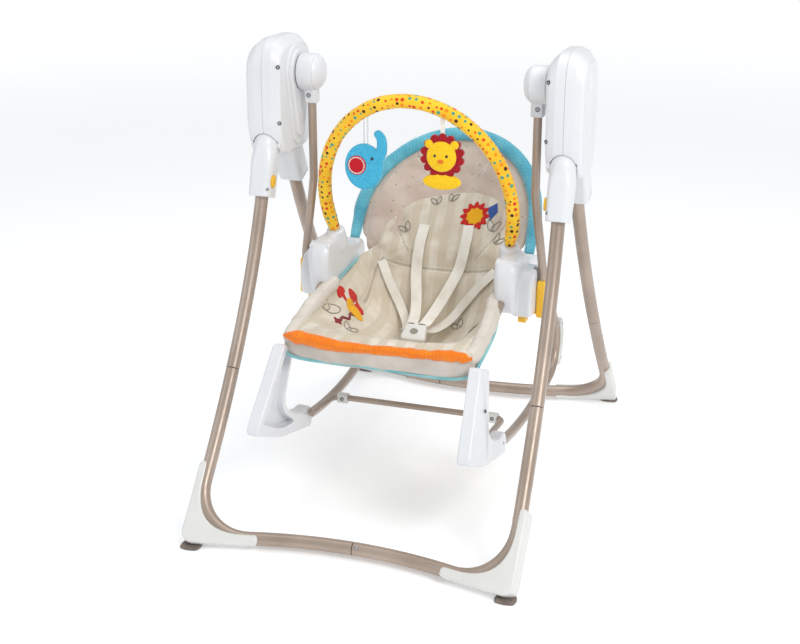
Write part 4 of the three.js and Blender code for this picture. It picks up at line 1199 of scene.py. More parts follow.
def casing_solid(rear_taper):
    """The casing's stepped cross-section: a slanting inner facet, a flat front band with the shells' seam,
    a soft crease and a rounded outer edge. Its top falls away towards both faces, and rear_taper draws the
    rear of the outer face forward."""
    inner_facet = [(252, 11), (252.5, 9.0), (254.2, 7.0), (257, 5.2), (267.6, 1.2), (269.4, 0.7)]
    seam = [(285.0, 0), (285.6, 0.8), (286.4, 0.8), (287.0, 0)]
    outer_edge = [(302, 0.4), (304, 0.8), (312.5, 2.2), (316.4, 4.0), (319.0, 7.0), (319.6, 11)]
    casing = layered(CASING, inner_facet + seam + outer_edge)
    for point in casing.points:
        outer, inner = smoothstep(point[0], 292, 320), smoothstep(-point[0], -270, -252)
        point[1] -= rear_taper * outer * (point[1] + 86) / 168
        point[2] -= (13 * outer + 8 * inner) * max(point[2] - 640, 0) / 223
    return casing


def housing_walls(rear_taper):
    casing = union(casing_solid(rear_taper), plate(REAR_SOCKET, 260, 312, 9, 5))
    room = layered(CASING_ROOM, [(256, 9), (262, 1), (304, 1), (309, 9)])
    return cut(casing, room, leg_bore(REAR_LEG), socket_sweep())


def half_of(walls, from_x, to_x):
    keep = plate(box_outline(-200, 500, 200, 900), from_x, to_x, 0.01, 1)
    return booleaned(walls, [keep], "INTERSECT")


def inner_shell(walls):
    half = half_of(walls, 200, HOUSING_SPLIT - SHELL_GAP)
    step = plate(teardrop(51, 24, 652), 247.5, 256, 2.5, 3)
    boss = plate(teardrop(43, 14, 668), 241.5, 256, 3, 4)
    pin = lathe([(256, 6), (309.5, 6), (310, 5.4)], FOLD_PIVOT, 28)
    axle_bore = lathe([(235, 6.4), (262, 6.4)], (0, HUB_Z), 28)
    return cut(union(half, step, boss, pin), axle_bore)


def leaf_outline(bottom, top, width, lean=0.0):
    """A pointed oval between two heights."""
    steps = np.linspace(0, 2 * math.pi, 41)[:-1]
    middle, half = (bottom + top) / 2, (top - bottom) / 2
    outline = []
    for t in steps:
        across = width * math.cos(t) * abs(math.cos(t)) ** 0.15
        outline.append((lean * math.sin(t) + across, middle + half * math.sin(t)))
    return outline


def speaker_holes():
    """Rings of small holes in the motor side's inner face."""
    holes = []
    for ring, count in ((0, 1), (5.5, 6), (11, 12)):
        for i in range(count):
            turn = 2 * math.pi * i / count
            spot = (ring * math.cos(turn), 707 + ring * math.sin(turn))
            holes.append(lathe([(238, 1.5), (243.4, 1.5)], spot, 12))
    return joined(holes)


def raised(z):
    return Matrix.Translation((0, 0, z))


def right_outer_shell():
    """The plain side's outer shell, with a raised leaf on its face."""
    leaf = plate(leaf_outline(700, 838, 30, 4), 317, 320.8, 1.6, 3, crown=0.5)
    inset = plate(leaf_outline(722, 818, 19, 4), 320.0, 321.8, 0.8, 2, crown=0.3)
    outer = half_of(housing_walls(RIGHT_SHELL_TAPER), HOUSING_SPLIT + SHELL_GAP, HOUSING_EDGE)
    shift = Matrix.Translation((0, -18, 0))
    return union(outer, leaf.moved(shift), inset.moved(shift))


def left_outer_shell():
    """The motor side's outer shell, open for the knob, the sound switch and the battery door."""
    well = lathe([(305.5, 22), (306, 23), (319.2, 23), (319.7, 22)])
    knob_room = lathe([(308.7, 20), (HOUSING_EDGE, 20)])
    slot = plate(superellipse(10, 4.3, 6), 308, HOUSING_EDGE, 0.2, 1).moved(raised(SWITCH_Z))
    left, low, right, high = DOOR
    hole = rounded_box(left - DOOR_GAP, low - DOOR_GAP, right + DOOR_GAP, high + DOOR_GAP, 6)
    door_hole = plate(hole, 308, HOUSING_EDGE, 0.1, 1)
    outer = half_of(housing_walls(0), HOUSING_SPLIT + SHELL_GAP, HOUSING_EDGE)
    return cut(union(outer, well), knob_room, slot, door_hole).mirrored()


def add_housings():
    inner = inner_shell(housing_walls(0))
    grille = cut(inner, speaker_holes()).mirrored()
    shells = {
        "housing_outer_shell_right": right_outer_shell(),
        "housing_outer_shell_left": left_outer_shell(),
        "housing_inner_shell_right": inner,
        "housing_inner_shell_left": grille,
    }
    for node, shell in shells.items():
        piece(f"{node}_visual", shell, WHITE, "stand", [node], 30)
    places = [((254.4, -79, 813), (-0.55, -0.84, 0), 1.0), ((254.2, -80, 709), (-0.55, -0.84, 0), 1.0)]
    places += [((252.2, 62, 800), (-1, 0, 0), 0.9), ((252.2, 60, 700), (-1, 0, 0), 0.9)]
    screws("housing", both_sides(places), "stand")
    add_controls()


def add_controls():
    """The motor side's knob, sound switch and battery door, all on the outer face."""
    grip = lathe([(309.2, 18), (309.8, 19), (314.5, 18.4), (316.2, 17.4), (316.6, 16)], sides=64)
    ridge = plate(superellipse(3, 16, 3), 315, 319.5, 1.3, 3).moved(raised(HUB_Z))
    knob = union(grip, ridge).mirrored()
    piece("speed_knob_visual", knob, CREAM, "speed_knob", ["speed_knob"], 35)
    slider = block((312.2, -6, SWITCH_Z - 4), (319.4, 6, SWITCH_Z + 4), 1.2, 5)
    low, high = SWITCH_Z - 3, SWITCH_Z + 3
    grips = [block((318.9, y - 0.6, low), (320.1, y + 0.6, high), 0.3, 4) for y in (-3, 0, 3)]
    switch = union(slider, *grips).mirrored()
    piece("sound_switch_visual", switch, YELLOW, "sound_switch", ["sound_switch"], 35)
    door = plate(rounded_box(*DOOR, 6), 317, 319.8, 0.8, 3)
    thumb = plate(ellipse(9, 4, (48, 700)), 319, 321, 0.8, 2)
    piece("battery_door_visual", cut(door, thumb).mirrored(), CREAM, "stand", ["battery_door"], 35)


# ------------------------------------------------------------------ swing arms
UPRIGHT = Matrix(((0, 1, 0, 0), (0, 0, 1, 0), (1, 0, 0, 0), (0, 0, 0, 1)))


def hub_shape():
    profile = [(194.05, 2), (194.3, 9), (195.2, 16), (197.4, 22.4), (200.6, 27.4), (204.4, 31)]
    profile += [(207.2, 33.0), (207.7, 32.3), (208.5, 32.3), (209.0, 33.9), (212, 34.8), (216, 35)]
    profile += [(236.5, 35), (238.8, 33.8), (239.5, 31.5)]
    dome = lathe(profile, (0, HUB_Z), 72)
    corners = rounded_box(ARM_X - 12, -13, ARM_X + 12, 13, 6)
    collar = plate(corners, 737, 782, 2.2, 3).moved(UPRIGHT)
    bore = ARM_RADIUS + ARM_CLEARANCE
    arm_bore = sweep([(ARM_X, 0, 725), (ARM_X, 0, 768)], ellipse(bore, bore, sides=32))
    axle_bore = lathe([(210, 6.3), (250, 6.3)], (0, HUB_Z), 28)
    return cut(union(dome, collar), arm_bore, axle_bore)


def add_swing():
    pair("hub", hub_shape(), WHITE, "swing", 32)
    corners = [(ARM_X, 0, 768), (ARM_X, 0, 590), (ARM_FOOT_X, 0, 440), (ARM_FOOT_X, 0, 400)]
    pair("swing_arm", tube(rounded_route(corners, 120, 10), ARM_RADIUS), PAINT, "swing")
    outline = rounded([(-18, 357, 9), (18, 357, 9), (14, 429, 7), (-14, 429, 7)])
    body = plate(outline, 231.8, 247, 2.6, 4)
    tongue = block((222.2, -13, 363), (236, 13, 415), 1.2, 10)
    rib = plate(rounded([(-11, 366, 5), (11, 366, 5), (9, 396, 5), (-9, 396, 5)]), 246.4, 248.2, 0.7, 2)
    bore_radius = ARM_RADIUS + ARM_CLEARANCE
    bore = sweep([(ARM_FOOT_X, 0, 399), (ARM_FOOT_X, 0, 440)], ellipse(bore_radius, bore_radius, sides=32))
    pair("hanger", cut(union(body, tongue, rib), bore), YELLOW, "swing", 35)
    screws("hub", both_sides([((ARM_X + 2, -13, 752), (0, -1, 0), 1.15)]), "swing")


# ------------------------------------------------------------------ seat frame, rails and feet
def rail_x(y):
    share = (y - RAIL_BEND_Y) / (RAIL_END_Y - RAIL_BEND_Y)
    return lerp(RAIL_REAR_X, RAIL_FRONT_X, share)


def rail_bend_z():
    reach = ROCKER_RADIUS - RAIL_BEND_RADIUS
    return ROCKER_CENTRE[1] - math.sqrt(reach**2 - (RAIL_BEND_Y - ROCKER_CENTRE[0]) ** 2)


def rail_stations():
    bend_z = rail_bend_z()

    def arc_point(degrees):
        turn = math.radians(degrees)
        y = RAIL_BEND_Y + RAIL_BEND_RADIUS * math.cos(turn)
        return np.array((RAIL_REAR_X, y, bend_z + RAIL_BEND_RADIUS * math.sin(turn)))

    lead = arc_point(45)
    up = np.array((0, -1, 1)) / math.sqrt(2)
    straight = [lead + up * reach for reach in np.linspace(196, 8, 14)]
    arc = [arc_point(degrees) for degrees in np.linspace(45, -84, 22)]
    rocker = []
    for y in np.linspace(226, RAIL_END_Y, 34):
        z = ROCKER_CENTRE[1] - math.sqrt(ROCKER_RADIUS**2 - (y - ROCKER_CENTRE[0]) ** 2)
        rocker.append(np.array((rail_x(y), y, z)))
    return straight + arc + rocker


def rear_bumper():
    """A crescent-shaped stop moulded round the back of the rail's bend."""
    path = []
    for degrees in np.linspace(-47, 45, 40):
        turn = math.radians(degrees)
        y, z = BUMPER_RADIUS * math.cos(turn), BUMPER_RADIUS * math.sin(turn)
        path.append((RAIL_REAR_X, RAIL_BEND_Y + y, rail_bend_z() + z))

    def taper(share):
        end = min(share, 1 - share)
        return np.array((0.86 + 0.14 * min(1, end / 0.05), 0.4 + 0.6 * smoothstep(end, 0, 0.1)))

    return sweep(path, superellipse(13, 10.2, 5, 48), taper, first=(1, 0, 0))


def rocker_foot():
    corners = [(-290, 344, 8), (-378, 206, 16), (-275, 160, 30), (-128, 123, 9), (-116, 150, 12)]
    corners += [(-134, 172, 12), (-160, 172, 12), (-196, 176, 30), (-252, 212, 34), (-238, 324, 9)]
    body = plate(rounded(corners, 12), ROCKER_FOOT_X - 12, ROCKER_FOOT_X + 12, 4, 5)
    hollow = [(-276, 328, 6), (-352, 218, 12), (-270, 176, 24)]
    hollow += [(-206, 166, 16), (-270, 214, 34), (-250, 322, 6)]
    pocket = plate(rounded(hollow, 12), ROCKER_FOOT_X - 20, ROCKER_FOOT_X + 2, 3, 3)
    shape = cut(body, pocket)
    rise = np.clip((shape.points[:, 2] - 215) / 130, 0, 1) ** 1.3
    shape.points[:, 0] -= 11 * rise
    shape.points[:, 1] += 24 * rise
    return shape


def toy_point(share):
    below = math.asin(TOY_BAR["shoulder"] / TOY_BAR["rise"])
    turn = lerp(-below, math.pi + below, share)
    height = TOY_BAR["shoulder"] + TOY_BAR["rise"] * math.sin(turn)
    y, z = TOY_BAR["foot"] + height * toy_lean()[1:]
    return np.array((TOY_BAR["half"] * math.cos(turn), y, z))


def toy_lean():
    return np.array((0, -math.sin(TOY_BAR["lean"]), math.cos(TOY_BAR["lean"])))


def pod_shape():
    """The moulding at each side of the seat: a bulb that carries seat, back and toy bar, and an outer block
    that hangs on the arm."""
    hanger_side = [(-52, 366, 12), (40, 366, 12), (54, 404, 20)]
    hanger_side += [(38, 450, 20), (-34, 452, 20), (-60, 418, 20)]
    corners = [(-64, 373, 16), (8, 377, 12), (70, 394, 12), (100, 394, 11), (104, 441, 11), (40, 452, 16)]
    corners += [(14, 482, 16), (-48, 484, 18), (-80, 470, 22), (-80, 410, 24)]
    lobe = lathe([(163, 21), (165, 24), (168, 25), (199, 25), (202, 24), (204, 21)], RECLINE_PIVOT, 48)
    foot = toy_point(0)
    lean = toy_lean()
    post = [foot - lean * reach for reach in (40, 14, 1.5, 0)]
    turret = sweep(post, ellipse(19, 21, sides=40), lambda share: 1.12 - 0.3 * share)
    rail_end = sweep([(199, 108, 418), (206, 143.2, 385.1), (206, 147, 381)], ellipse(13.3, 13.3, sides=40))
    outer = plate(rounded(hanger_side), 192, 230.6, 6, 4)
    bulb = plate(rounded(corners), 163.4, 205, 13, 5)
    body = moulded(joined([outer, bulb, lobe, turret, rail_end]), 1.7, 14)
    slot = plate(box_outline(-14, 340, 14, 415.3), 221.3, 240, 0.05, 1)
    channel = plate(box_outline(-9.5, 410, 9.5, 480), 221.3, 240, 0.05, 1)
    button_bore = plate(box_outline(-44.5, 350, -19.5, 378.3), 203.6, 219.4, 0.05, 1)
    plug_bore = sweep([foot - lean * 21.5, foot + lean * 6], ellipse(8.6, 8.6, sides=28))
    return cut(body, slot, channel, button_bore, plug_bore)


def frame_stations():
    front_y, front_z = SEAT_FRONT
    start = (SEAT_SIDE_X, -58, 404)
    corners = [start, (SEAT_SIDE_X, front_y, front_z), (-SEAT_SIDE_X, front_y, front_z)]
    corners.append((-SEAT_SIDE_X, start[1], start[2]))
    return rounded_route(corners, 28, 12)


def add_kickstand():
    pivot, bar = (-144, 157), (-24, 147)
    corners = [(KICKSTAND_X, *pivot), (KICKSTAND_X, *bar), (-KICKSTAND_X, *bar), (-KICKSTAND_X, *pivot)]
    frame_tube = tube(rounded_route(corners, 22, 10), KICKSTAND_RADIUS, 22)
    pins = [lathe([(side * 178.5 - 6, 2.5), (side * 178.5 + 6, 2.5)], pivot, 16) for side in (-1, 1)]
    piece("kickstand_visual", joined([frame_tube, *pins]), PAINT, "kickstand", ["kickstand"])
    y, z = bar
    sides = (-KICKSTAND_BLOCK_X, KICKSTAND_BLOCK_X)
    blocks = [block((x - 11, y - 9, z - 10), (x + 11, y + 9, z + 8), 2, 6) for x in sides]
    piece("kickstand_blocks", joined(blocks), CREAM, "kickstand")
    places = [((x, y - 9.1, z), (0, -1, 0), 1.0) for x in sides]
    screws("kickstand", places, "kickstand")


def add_seat_frame():
    pair("seat_pod", pod_shape(), WHITE, "seat", 50)
    outline = rounded([(-44, 354, 6), (-20, 354, 6), (-20, 374, 2), (-44, 374, 2)])
    bodies = ("seat_release_button_right", "seat_release_button_left")
    pair("seat_release_button", plate(outline, 204, 219, 1.5, 3), YELLOW, bodies)
    pair("rocker_rail", tube(rail_stations(), RAIL_RADIUS), PAINT, "seat")
    pair("rear_bumper", rear_bumper(), CREAM, "seat")
    pair("rocker_foot", rocker_foot(), WHITE, "seat")
    piece("seat_frame_visual", tube(frame_stations(), SEAT_RADIUS), PAINT, "seat", ["seat_frame"])
    outer = ROCKER_FOOT_X + 12
    places = [((outer - 3, -262, 262), (1, 0, 0), 0.8), ((outer, -140, 149), (1, 0, 0), 0.8)]
    bend = np.array((RAIL_BEND_Y, rail_bend_z()))
    for degrees in (-34, 30):
        turn = math.radians(degrees)
        spot = bend + 72 * np.array((math.cos(turn), math.sin(turn)))
        places.append(((RAIL_REAR_X + 13, *spot), (1, 0, 0), 0.75))
    places.append(((168.5, -55, 474), (-0.75, -0.6, 0.25), 0.7))
    screws("seat", both_sides(places), "seat")
    add_kickstand()


# ------------------------------------------------------------------ reclining back
def back_point(across, up, out):
    """A point by its place across and up the back, and its height out of the back's plane. The filled cover
    slumps a little at its top, more on the left."""
    up += (0.07 * across - 9) * smoothstep(up, BACK_SHOULDER - 40, BACK_SHOULDER + BACK_ROUND_HEIGHT)
    y = RECLINE_PIVOT[0] + up * math.sin(BACK_LEAN) - out * math.cos(BACK_LEAN)
    z = RECLINE_PIVOT[1] + up * math.cos(BACK_LEAN) + out * math.sin(BACK_LEAN)
    return np.array((across, y, z))


def back_frame_path(half=BACK_HALF_WIDTH, rise=BACK_ROUND_HEIGHT, start=27, out=0.0, steps=72):
    sides = [(half, up) for up in np.linspace(start, BACK_SHOULDER - 6, 9)]
    arc = [(half * math.cos(t), BACK_SHOULDER + rise * math.sin(t)) for t in np.linspace(0, math.pi, steps)]
    outline = sides + arc + [(-across, up) for across, up in reversed(sides)]
    return np.array([back_point(across, up, out) for across, up in outline])


def back_roundness(across, up):
    """0 at the middle of the back pad and 1 at its rim."""
    rise = max(up - BACK_SHOULDER, 0) / 181
    fall = max(BACK_SHOULDER - 40 - up, 0) / 60
    return min(math.sqrt((across / 171) ** 2 + rise**2 + 0.3 * fall**2), 1.05)


def back_front(across, up):
    """How far the back pad's front face stands out of the back's plane: it dishes towards its middle."""
    return 9 - 15 * (1 - min(back_roundness(across, up), 1) ** 2)


ARCH = {"half": 138, "rise": 134, "shift": 8, "start": 12, "power": 2.4, "tilt": 0.0011}


def back_panel():
    """The back's padded panel: a dished front, a softly bowed rear and a rounded rim."""
    rings, spokes = 30, 110
    half, rise = 173, 183
    shares = [math.sin(math.pi / 2 * i / (rings - 1)) for i in range(rings)]
    outline = []
    for i in range(spokes):
        turn = 2 * math.pi * i / spokes
        square = 0.28 if math.sin(turn) < 0 else 1
        reach = rise if math.sin(turn) > 0 else 94
        up = reach * math.copysign(abs(math.sin(turn)) ** square, math.sin(turn))
        narrow = 14 * smoothstep(-up, BACK_SHOULDER - 46, BACK_SHOULDER - 26)
        across = (half - narrow) * math.copysign(abs(math.cos(turn)) ** square, math.cos(turn))
        outline.append((across, BACK_SHOULDER + up))
    outline = np.array(outline)
    centre = np.array((0, BACK_SHOULDER))
    points, cloth = [], []
    for front in (True, False):
        for share in shares:
            for across, up in centre + (outline - centre) * share:
                edge = max(1 - share**6, 0) ** 0.5
                if front:
                    out = lerp(-4, back_front(across, up) - 5, edge)
                else:
                    out = lerp(-4, -15 - 4 * (1 - share**2), edge)
                points.append(back_point(across, up, out))
                cloth.append((across, up, NO_SEAM))
    faces = []
    size = rings * spokes
    for layer in (0, 1):
        for ring in range(rings - 1):
            for i in range(spokes):
                j = (i + 1) % spokes
                a, b = layer * size + ring * spokes + i, layer * size + ring * spokes + j
                quad = (a, a + spokes, b + spokes, b)
                faces.append(quad if layer == 0 else quad[::-1])
    return Shape(points, faces, cloth)


def weld_keys(points):
    """The small box that each point lies in: points in one box are joined."""
    return [tuple(box) for box in np.round(points / 0.05).astype(int)]


def welded(shape):
    """Joins points that lie on each other, and drops faces that have no area."""
    keys = {}
    order = []
    link = np.empty(len(shape.points), int)
    for i, key in enumerate(weld_keys(shape.points)):
        if key not in keys:
            keys[key] = len(order)
            order.append(i)
        link[i] = keys[key]
    faces = []
    for face in shape.faces:
        ring = []
        for i in face:
            if link[i] not in ring:
                ring.append(int(link[i]))
        if len(ring) > 2:
            faces.append(tuple(ring))
    cloth = None if shape.cloth is None else shape.cloth[order]
    return Shape(shape.points[order], faces, cloth)


def rippled(shape, height, length, seed=0.0, along=1.0):
    """Moves points along their normals by a soft noise, as slack fabric creases."""
    mesh = mesh_of("ripple", shape)
    normals = np.empty(len(mesh.vertices) * 3)
    mesh.vertex_normals.foreach_get("vector", normals)
    normals = normals.reshape(-1, 3)
    bpy.data.meshes.remove(mesh)
    moves = []
    for across, down, _ in shape.cloth:
        spot = Vector((across / length, down / (length * along), seed))
        moves.append(noise.noise(spot) + 0.5 * noise.noise(spot * 2.3))
    points = shape.points + normals * (np.array(moves) * height)[:, None]
    return Shape(points, shape.faces, shape.cloth)


def back_seam(across, up):
    """Distance to the slanting seam at each side of the panel."""
    return abs(up - 1.35 * abs(across) - 118) / 1.68 if abs(across) > 46 else NO_SEAM


def add_back_panel():
    whole = welded(back_panel())
    across, up = whole.cloth[:, 0], whole.cloth[:, 1]
    rim = np.array([back_roundness(a, u) for a, u in zip(across, up)])
    seam = np.array([back_seam(a, u) for a, u in zip(across, up)])
    pins = np.where((rim > 0.93) | (seam < 3.2), 1.0, 0.0)
    whole.cloth[:, 2] = seam
    whole = stuffed(whole, pins, 8, 3.5, 0.025)
    whole = rippled(whole, 0.9, 26, 3.1)
    panel = piece("back_panel_visual", whole, PANEL, "seat_back", ["back_pad"], 180, 1)


def add_back_band():
    """The stuffed aqua band that covers the back's frame, dimpled along its slanting stitches."""
    sides, stitch_spacing, depth = 40, 8.0, 0.75
    band = sweep(
        back_frame_path(BACK_HALF_WIDTH - 0.5, BACK_ROUND_HEIGHT - 0.5, 24, 1.0, 330),
        ellipse(13.8, 13.0, sides=sides),
        lambda share: 0.7 + 0.3 * min(1, 30 * share, 30 * (1 - share)),
    )
    creases = []
    for around, along, _ in band.cloth:
        slant = along / stitch_spacing + around * 0.55 / stitch_spacing
        crease = 0.9 * noise.noise(Vector((around / 14, along / 21, 5)))
        creases.append(0.55 * math.sin(2 * math.pi * slant) + crease)
    waved(band, sides, np.array(creases).reshape(-1, sides) * depth)
    edging = piece("back_band_visual", band, BAND, "seat_back", (), 180)


def add_back():
    piece("back_frame_visual", tube(back_frame_path(), SEAT_RADIUS), PAINT, "seat_back", ["back_frame"])
    add_back_panel()
    add_back_band()


# ------------------------------------------------------------------ liner
LINER_MIDDLE = [(-262, 359), (-220, 352), (-130, 304), (-40, 274), (28, 276), (66, 320), (90, 376)]
LINER_EDGE = [(-262, 363), (-220, 364), (-130, 382), (-40, 398), (28, 406), (66, 413), (90, 421)]
LINER_HALF = [178, 177, 174, 166, 161, 160, 156]
SEAT_ROWS = 62
BACK_ROWS = 22
COLUMNS = 57
BOLSTER_COLUMN = 6
CREASE_ROW = SEAT_ROWS - 6
SEWN_REACH = 3.0
DART_TOP = 92


def seat_half_width(share):
    """Half the liner's width at a share of the way from the seat's front edge to the arch."""
    return smooth_line([(half, 0) for half in LINER_HALF + [ARCH["half"]]], share)[0]


def squareness(side, rise):
    """How much further out than a circle the arch's rounded-square rim lies, in one direction."""
    radius = math.hypot(side, rise)
    c, s = abs(side / radius), abs(rise / radius)
    power = ARCH["power"]
    return (c**power + s**power) ** (-1 / power)


def liner_point(row, across):
    """A point of the liner's face. Rows run from the seat's front edge, over the crease and up the back to
    the arch; across runs from -1 to 1."""
    back = np.array([back_point(0, ARCH["start"], 4)[1:], back_point(0, ARCH["start"], 11)[1:]])
    if row <= SEAT_ROWS:
        share = row / SEAT_ROWS
        middle = smooth_line(LINER_MIDDLE + [tuple(back[0])], share)
        edge = smooth_line(LINER_EDGE + [tuple(back[1])], share)
        y, z = lerp(middle, edge, abs(across) ** 3)
        x = across * seat_half_width(share) + ARCH["shift"] * smoothstep(share, 0.75, 1)
        return np.array((x, y, z))
    t = (row - SEAT_ROWS) / BACK_ROWS
    side = across * math.sqrt(1 - t * t / 2)
    rise = t * math.sqrt(1 - across * across / 2)
    radius = math.hypot(side, rise)
    if radius > 1e-6:
        squarer = lerp(1, squareness(side, rise), radius)
        side, rise = side * squarer, rise * squarer
    x = ARCH["shift"] + ARCH["half"] * side
    tilt = 1 + ARCH["tilt"] * (x - ARCH["shift"])
    up = ARCH["start"] + ARCH["rise"] * rise * tilt
    settle = smoothstep(t, 0, 0.35)
    out = lerp(lerp(4, 11, abs(across) ** 3), back_front(x, up) + 2.5, settle)
    return back_point(x, up, out)


def liner_grid():
    rows = SEAT_ROWS + BACK_ROWS + 1
    shares = [2 * j / (COLUMNS - 1) - 1 for j in range(COLUMNS)]
    grid = np.array([[liner_point(i, share) for share in shares] for i in range(rows)])
    down = np.gradient(grid, axis=0)
    side = np.gradient(grid, axis=1)
    return grid, unit(np.cross(side, down))


def dart_distance(point):
    """Distance to the nearer of the two darts that slant up the back."""
    x, y, z = point
    up = (y - RECLINE_PIVOT[0]) * math.sin(BACK_LEAN) + (z - RECLINE_PIVOT[1]) * math.cos(BACK_LEAN)
    beyond = 0 if 0 < up < DART_TOP else NO_SEAM
    aside = [sign * (x - ARCH["shift"]) for sign in (-1, 1)]
    return min(abs((dart - 62) * 0.81 - (up + 8) * 0.59 * 0.9) + beyond for dart in aside)


def liner_seams(grid):
    """Distance from each grid point to the nearest sewn line: the bolster seams, the seam across the crease
    and two slanting darts in the back."""
    rows = grid.shape[0]
    seam = np.full(grid.shape[:2], float(NO_SEAM))
    for i in range(rows):
        half = abs(grid[i, -1, 0] - grid[i, 0, 0]) / 2
        for j in range(COLUMNS):
            if 34 <= i <= CREASE_ROW:
                off = min(j, COLUMNS - 1 - j) - BOLSTER_COLUMN
                seam[i, j] = min(seam[i, j], abs(off) * 2 * half / (COLUMNS - 1))
            if BOLSTER_COLUMN <= j <= COLUMNS - 1 - BOLSTER_COLUMN:
                seam[i, j] = min(seam[i, j], abs(i - CREASE_ROW) * 6.3)
            if i > CREASE_ROW:
                seam[i, j] = min(seam[i, j], dart_distance(grid[i, j]))
    return seam


def liner_depth(top, rim, sewn):
    """How far a point of the liner's top or underside stands off the grid."""
    if rim:
        return -2.0
    if top:
        return -1.0 if sewn else 1.5
    return -5.0 if sewn else -7.0


def liner_shape():
    grid, normals = liner_grid()
    rows = grid.shape[0]
    seam = liner_seams(grid)
    steps = np.linalg.norm(np.diff(grid[:, COLUMNS // 2], axis=0), axis=1)
    length = np.concatenate([[0], np.cumsum(steps)])
    points, cloth, pins = [], [], []
    for top in (True, False):
        for i in range(rows):
            for j in range(COLUMNS):
                rim = i in (0, rows - 1) or j in (0, COLUMNS - 1)
                sewn = seam[i, j] < SEWN_REACH
                points.append(grid[i, j] + normals[i, j] * liner_depth(top, rim, sewn))
                cloth.append((grid[i, j, 0], length[i], min(seam[i, j], NO_SEAM)))
                pins.append(1.0 if rim or sewn else 0.0)
    size = rows * COLUMNS
    faces = []
    for above, below in zip(grid_faces(rows, COLUMNS), turned_over(grid_faces(rows, COLUMNS, size))):
        faces += [above, below]
    shape = Shape(points, faces, cloth)
    whole = welded(shape)
    pinned = dict(zip(weld_keys(shape.points), pins))
    return whole, np.array([pinned[key] for key in weld_keys(whole.points)])


def surface_of(shape):
    return BVHTree.FromPolygons([tuple(p) for p in shape.points], shape.faces)


def on_liner(tree, row, across, lift):
    """The point of the sewn liner over a place in its grid, and the way the fabric faces there."""
    step = 0.35
    here = liner_point(row, across)
    ahead = liner_point(row + step, across) - liner_point(row - step, across)
    right = liner_point(row, min(across + 0.02, 1)) - liner_point(row, max(across - 0.02, -1))
    normal = unit(np.cross(right, ahead))
    hit = tree.ray_cast(Vector(here + normal * 26), Vector(-normal), 60)[0]
    if hit is None:
        return here + normal * (lift + 2), normal
    return np.array(hit) + normal * lift, normal


# ------------------------------------------------------------------ prints on the liner
PRINT_LIFT = 1.0


def petal(length, width, angle, place):
    """A pointed oval from a stem point, leaning by an angle in degrees."""
    turn = math.radians(angle)
    c, s = math.cos(turn), math.sin(turn)
    outline = []
    for step in np.linspace(0, 2 * math.pi, 33)[:-1]:
        along = length * (0.5 - 0.5 * math.cos(step))
        side = width / 2 * math.sin(step) * (0.8 + 0.2 * math.cos(step))
        outline.append((place[0] + side * c + along * s, place[1] - side * s + along * c))
    return outline


def bloom(radius, petals, depth, place):
    outline = []
    for step in np.linspace(0, 2 * math.pi, 12 * petals + 1)[:-1]:
        reach = radius * (1 - depth * (0.5 - 0.5 * math.cos(petals * step)))
        outline.append((place[0] + reach * math.cos(step), place[1] + reach * math.sin(step)))
    return outline


def filled(outline, tree, placed, lift=PRINT_LIFT):
    """A thin patch of fabric print with a given outline, laid on the liner. placed turns pattern
    millimetres into a row and an across share."""
    flat = counterclockwise(outline)
    centre = flat.mean(axis=0)
    shares = (1, 0.86, 0.7, 0.55, 0.4, 0.25, 0.1, 0.02)
    tops, lows = [], []
    for share in shares:
        top, low = [], []
        for u, v in centre + (flat - centre) * share:
            spot, normal = on_liner(tree, *placed(u, v), lift)
            top.append(spot)
            low.append(spot - normal * 0.9)
        tops.append(np.array(top))
        lows.append(np.array(low))
    return skin(list(reversed(lows)) + tops)


def outlined(outline, tree, placed, width=1.7):
    """A printed line that follows a closed outline on the liner."""
    spots = [on_liner(tree, *placed(u, v), PRINT_LIFT) for u, v in list(outline) + [outline[0]]]
    path = np.array([spot for spot, _ in spots])
    normals = np.array([normal for _, normal in spots])
    return sweep(path, box_outline(-width / 2, -0.7, width / 2, 0.1), normals=normals)


def seat_place(u, v):
    """Across and forward millimetres on the seat: v counts from the crease towards the front edge."""
    row = min(max(SEAT_ROWS - 8 - v / 7.4, 0.6), SEAT_ROWS)
    return row, max(min(u / seat_half_width(row / SEAT_ROWS), 0.99), -0.99)


def from_disc(side, rise):
    """Undoes liner_point's drawing of a square grid into a round arch, along the first of two axes."""
    difference, reach = side * side - rise * rise, 2 * side * math.sqrt(2)
    place = 0.5 * math.sqrt(max(2 + difference + reach, 0))
    return place - 0.5 * math.sqrt(max(2 + difference - reach, 0))


def back_place(u, v):
    """Across and up millimetres on the back, inside the arch."""
    rise = max((v - ARCH["start"]) / ARCH["rise"], 0.01)
    side = u / ARCH["half"]
    squarer = lerp(1, squareness(side, rise), min(math.hypot(side, rise), 1))
    side, rise = side / squarer, rise / squarer
    across, t = from_disc(side, rise), from_disc(rise, side)
    return SEAT_ROWS + min(max(t, 0.02), 0.97) * BACK_ROWS, max(min(across, 0.97), -0.97)


def leaf_pairs(places):
    outlines = []
    for u, v, angle, size in places:
        outlines.append(petal(24 * size, 13 * size, angle - 24, (u, v)))
        outlines.append(petal(24 * size, 13 * size, angle + 28, (u + 1, v)))
    return outlines


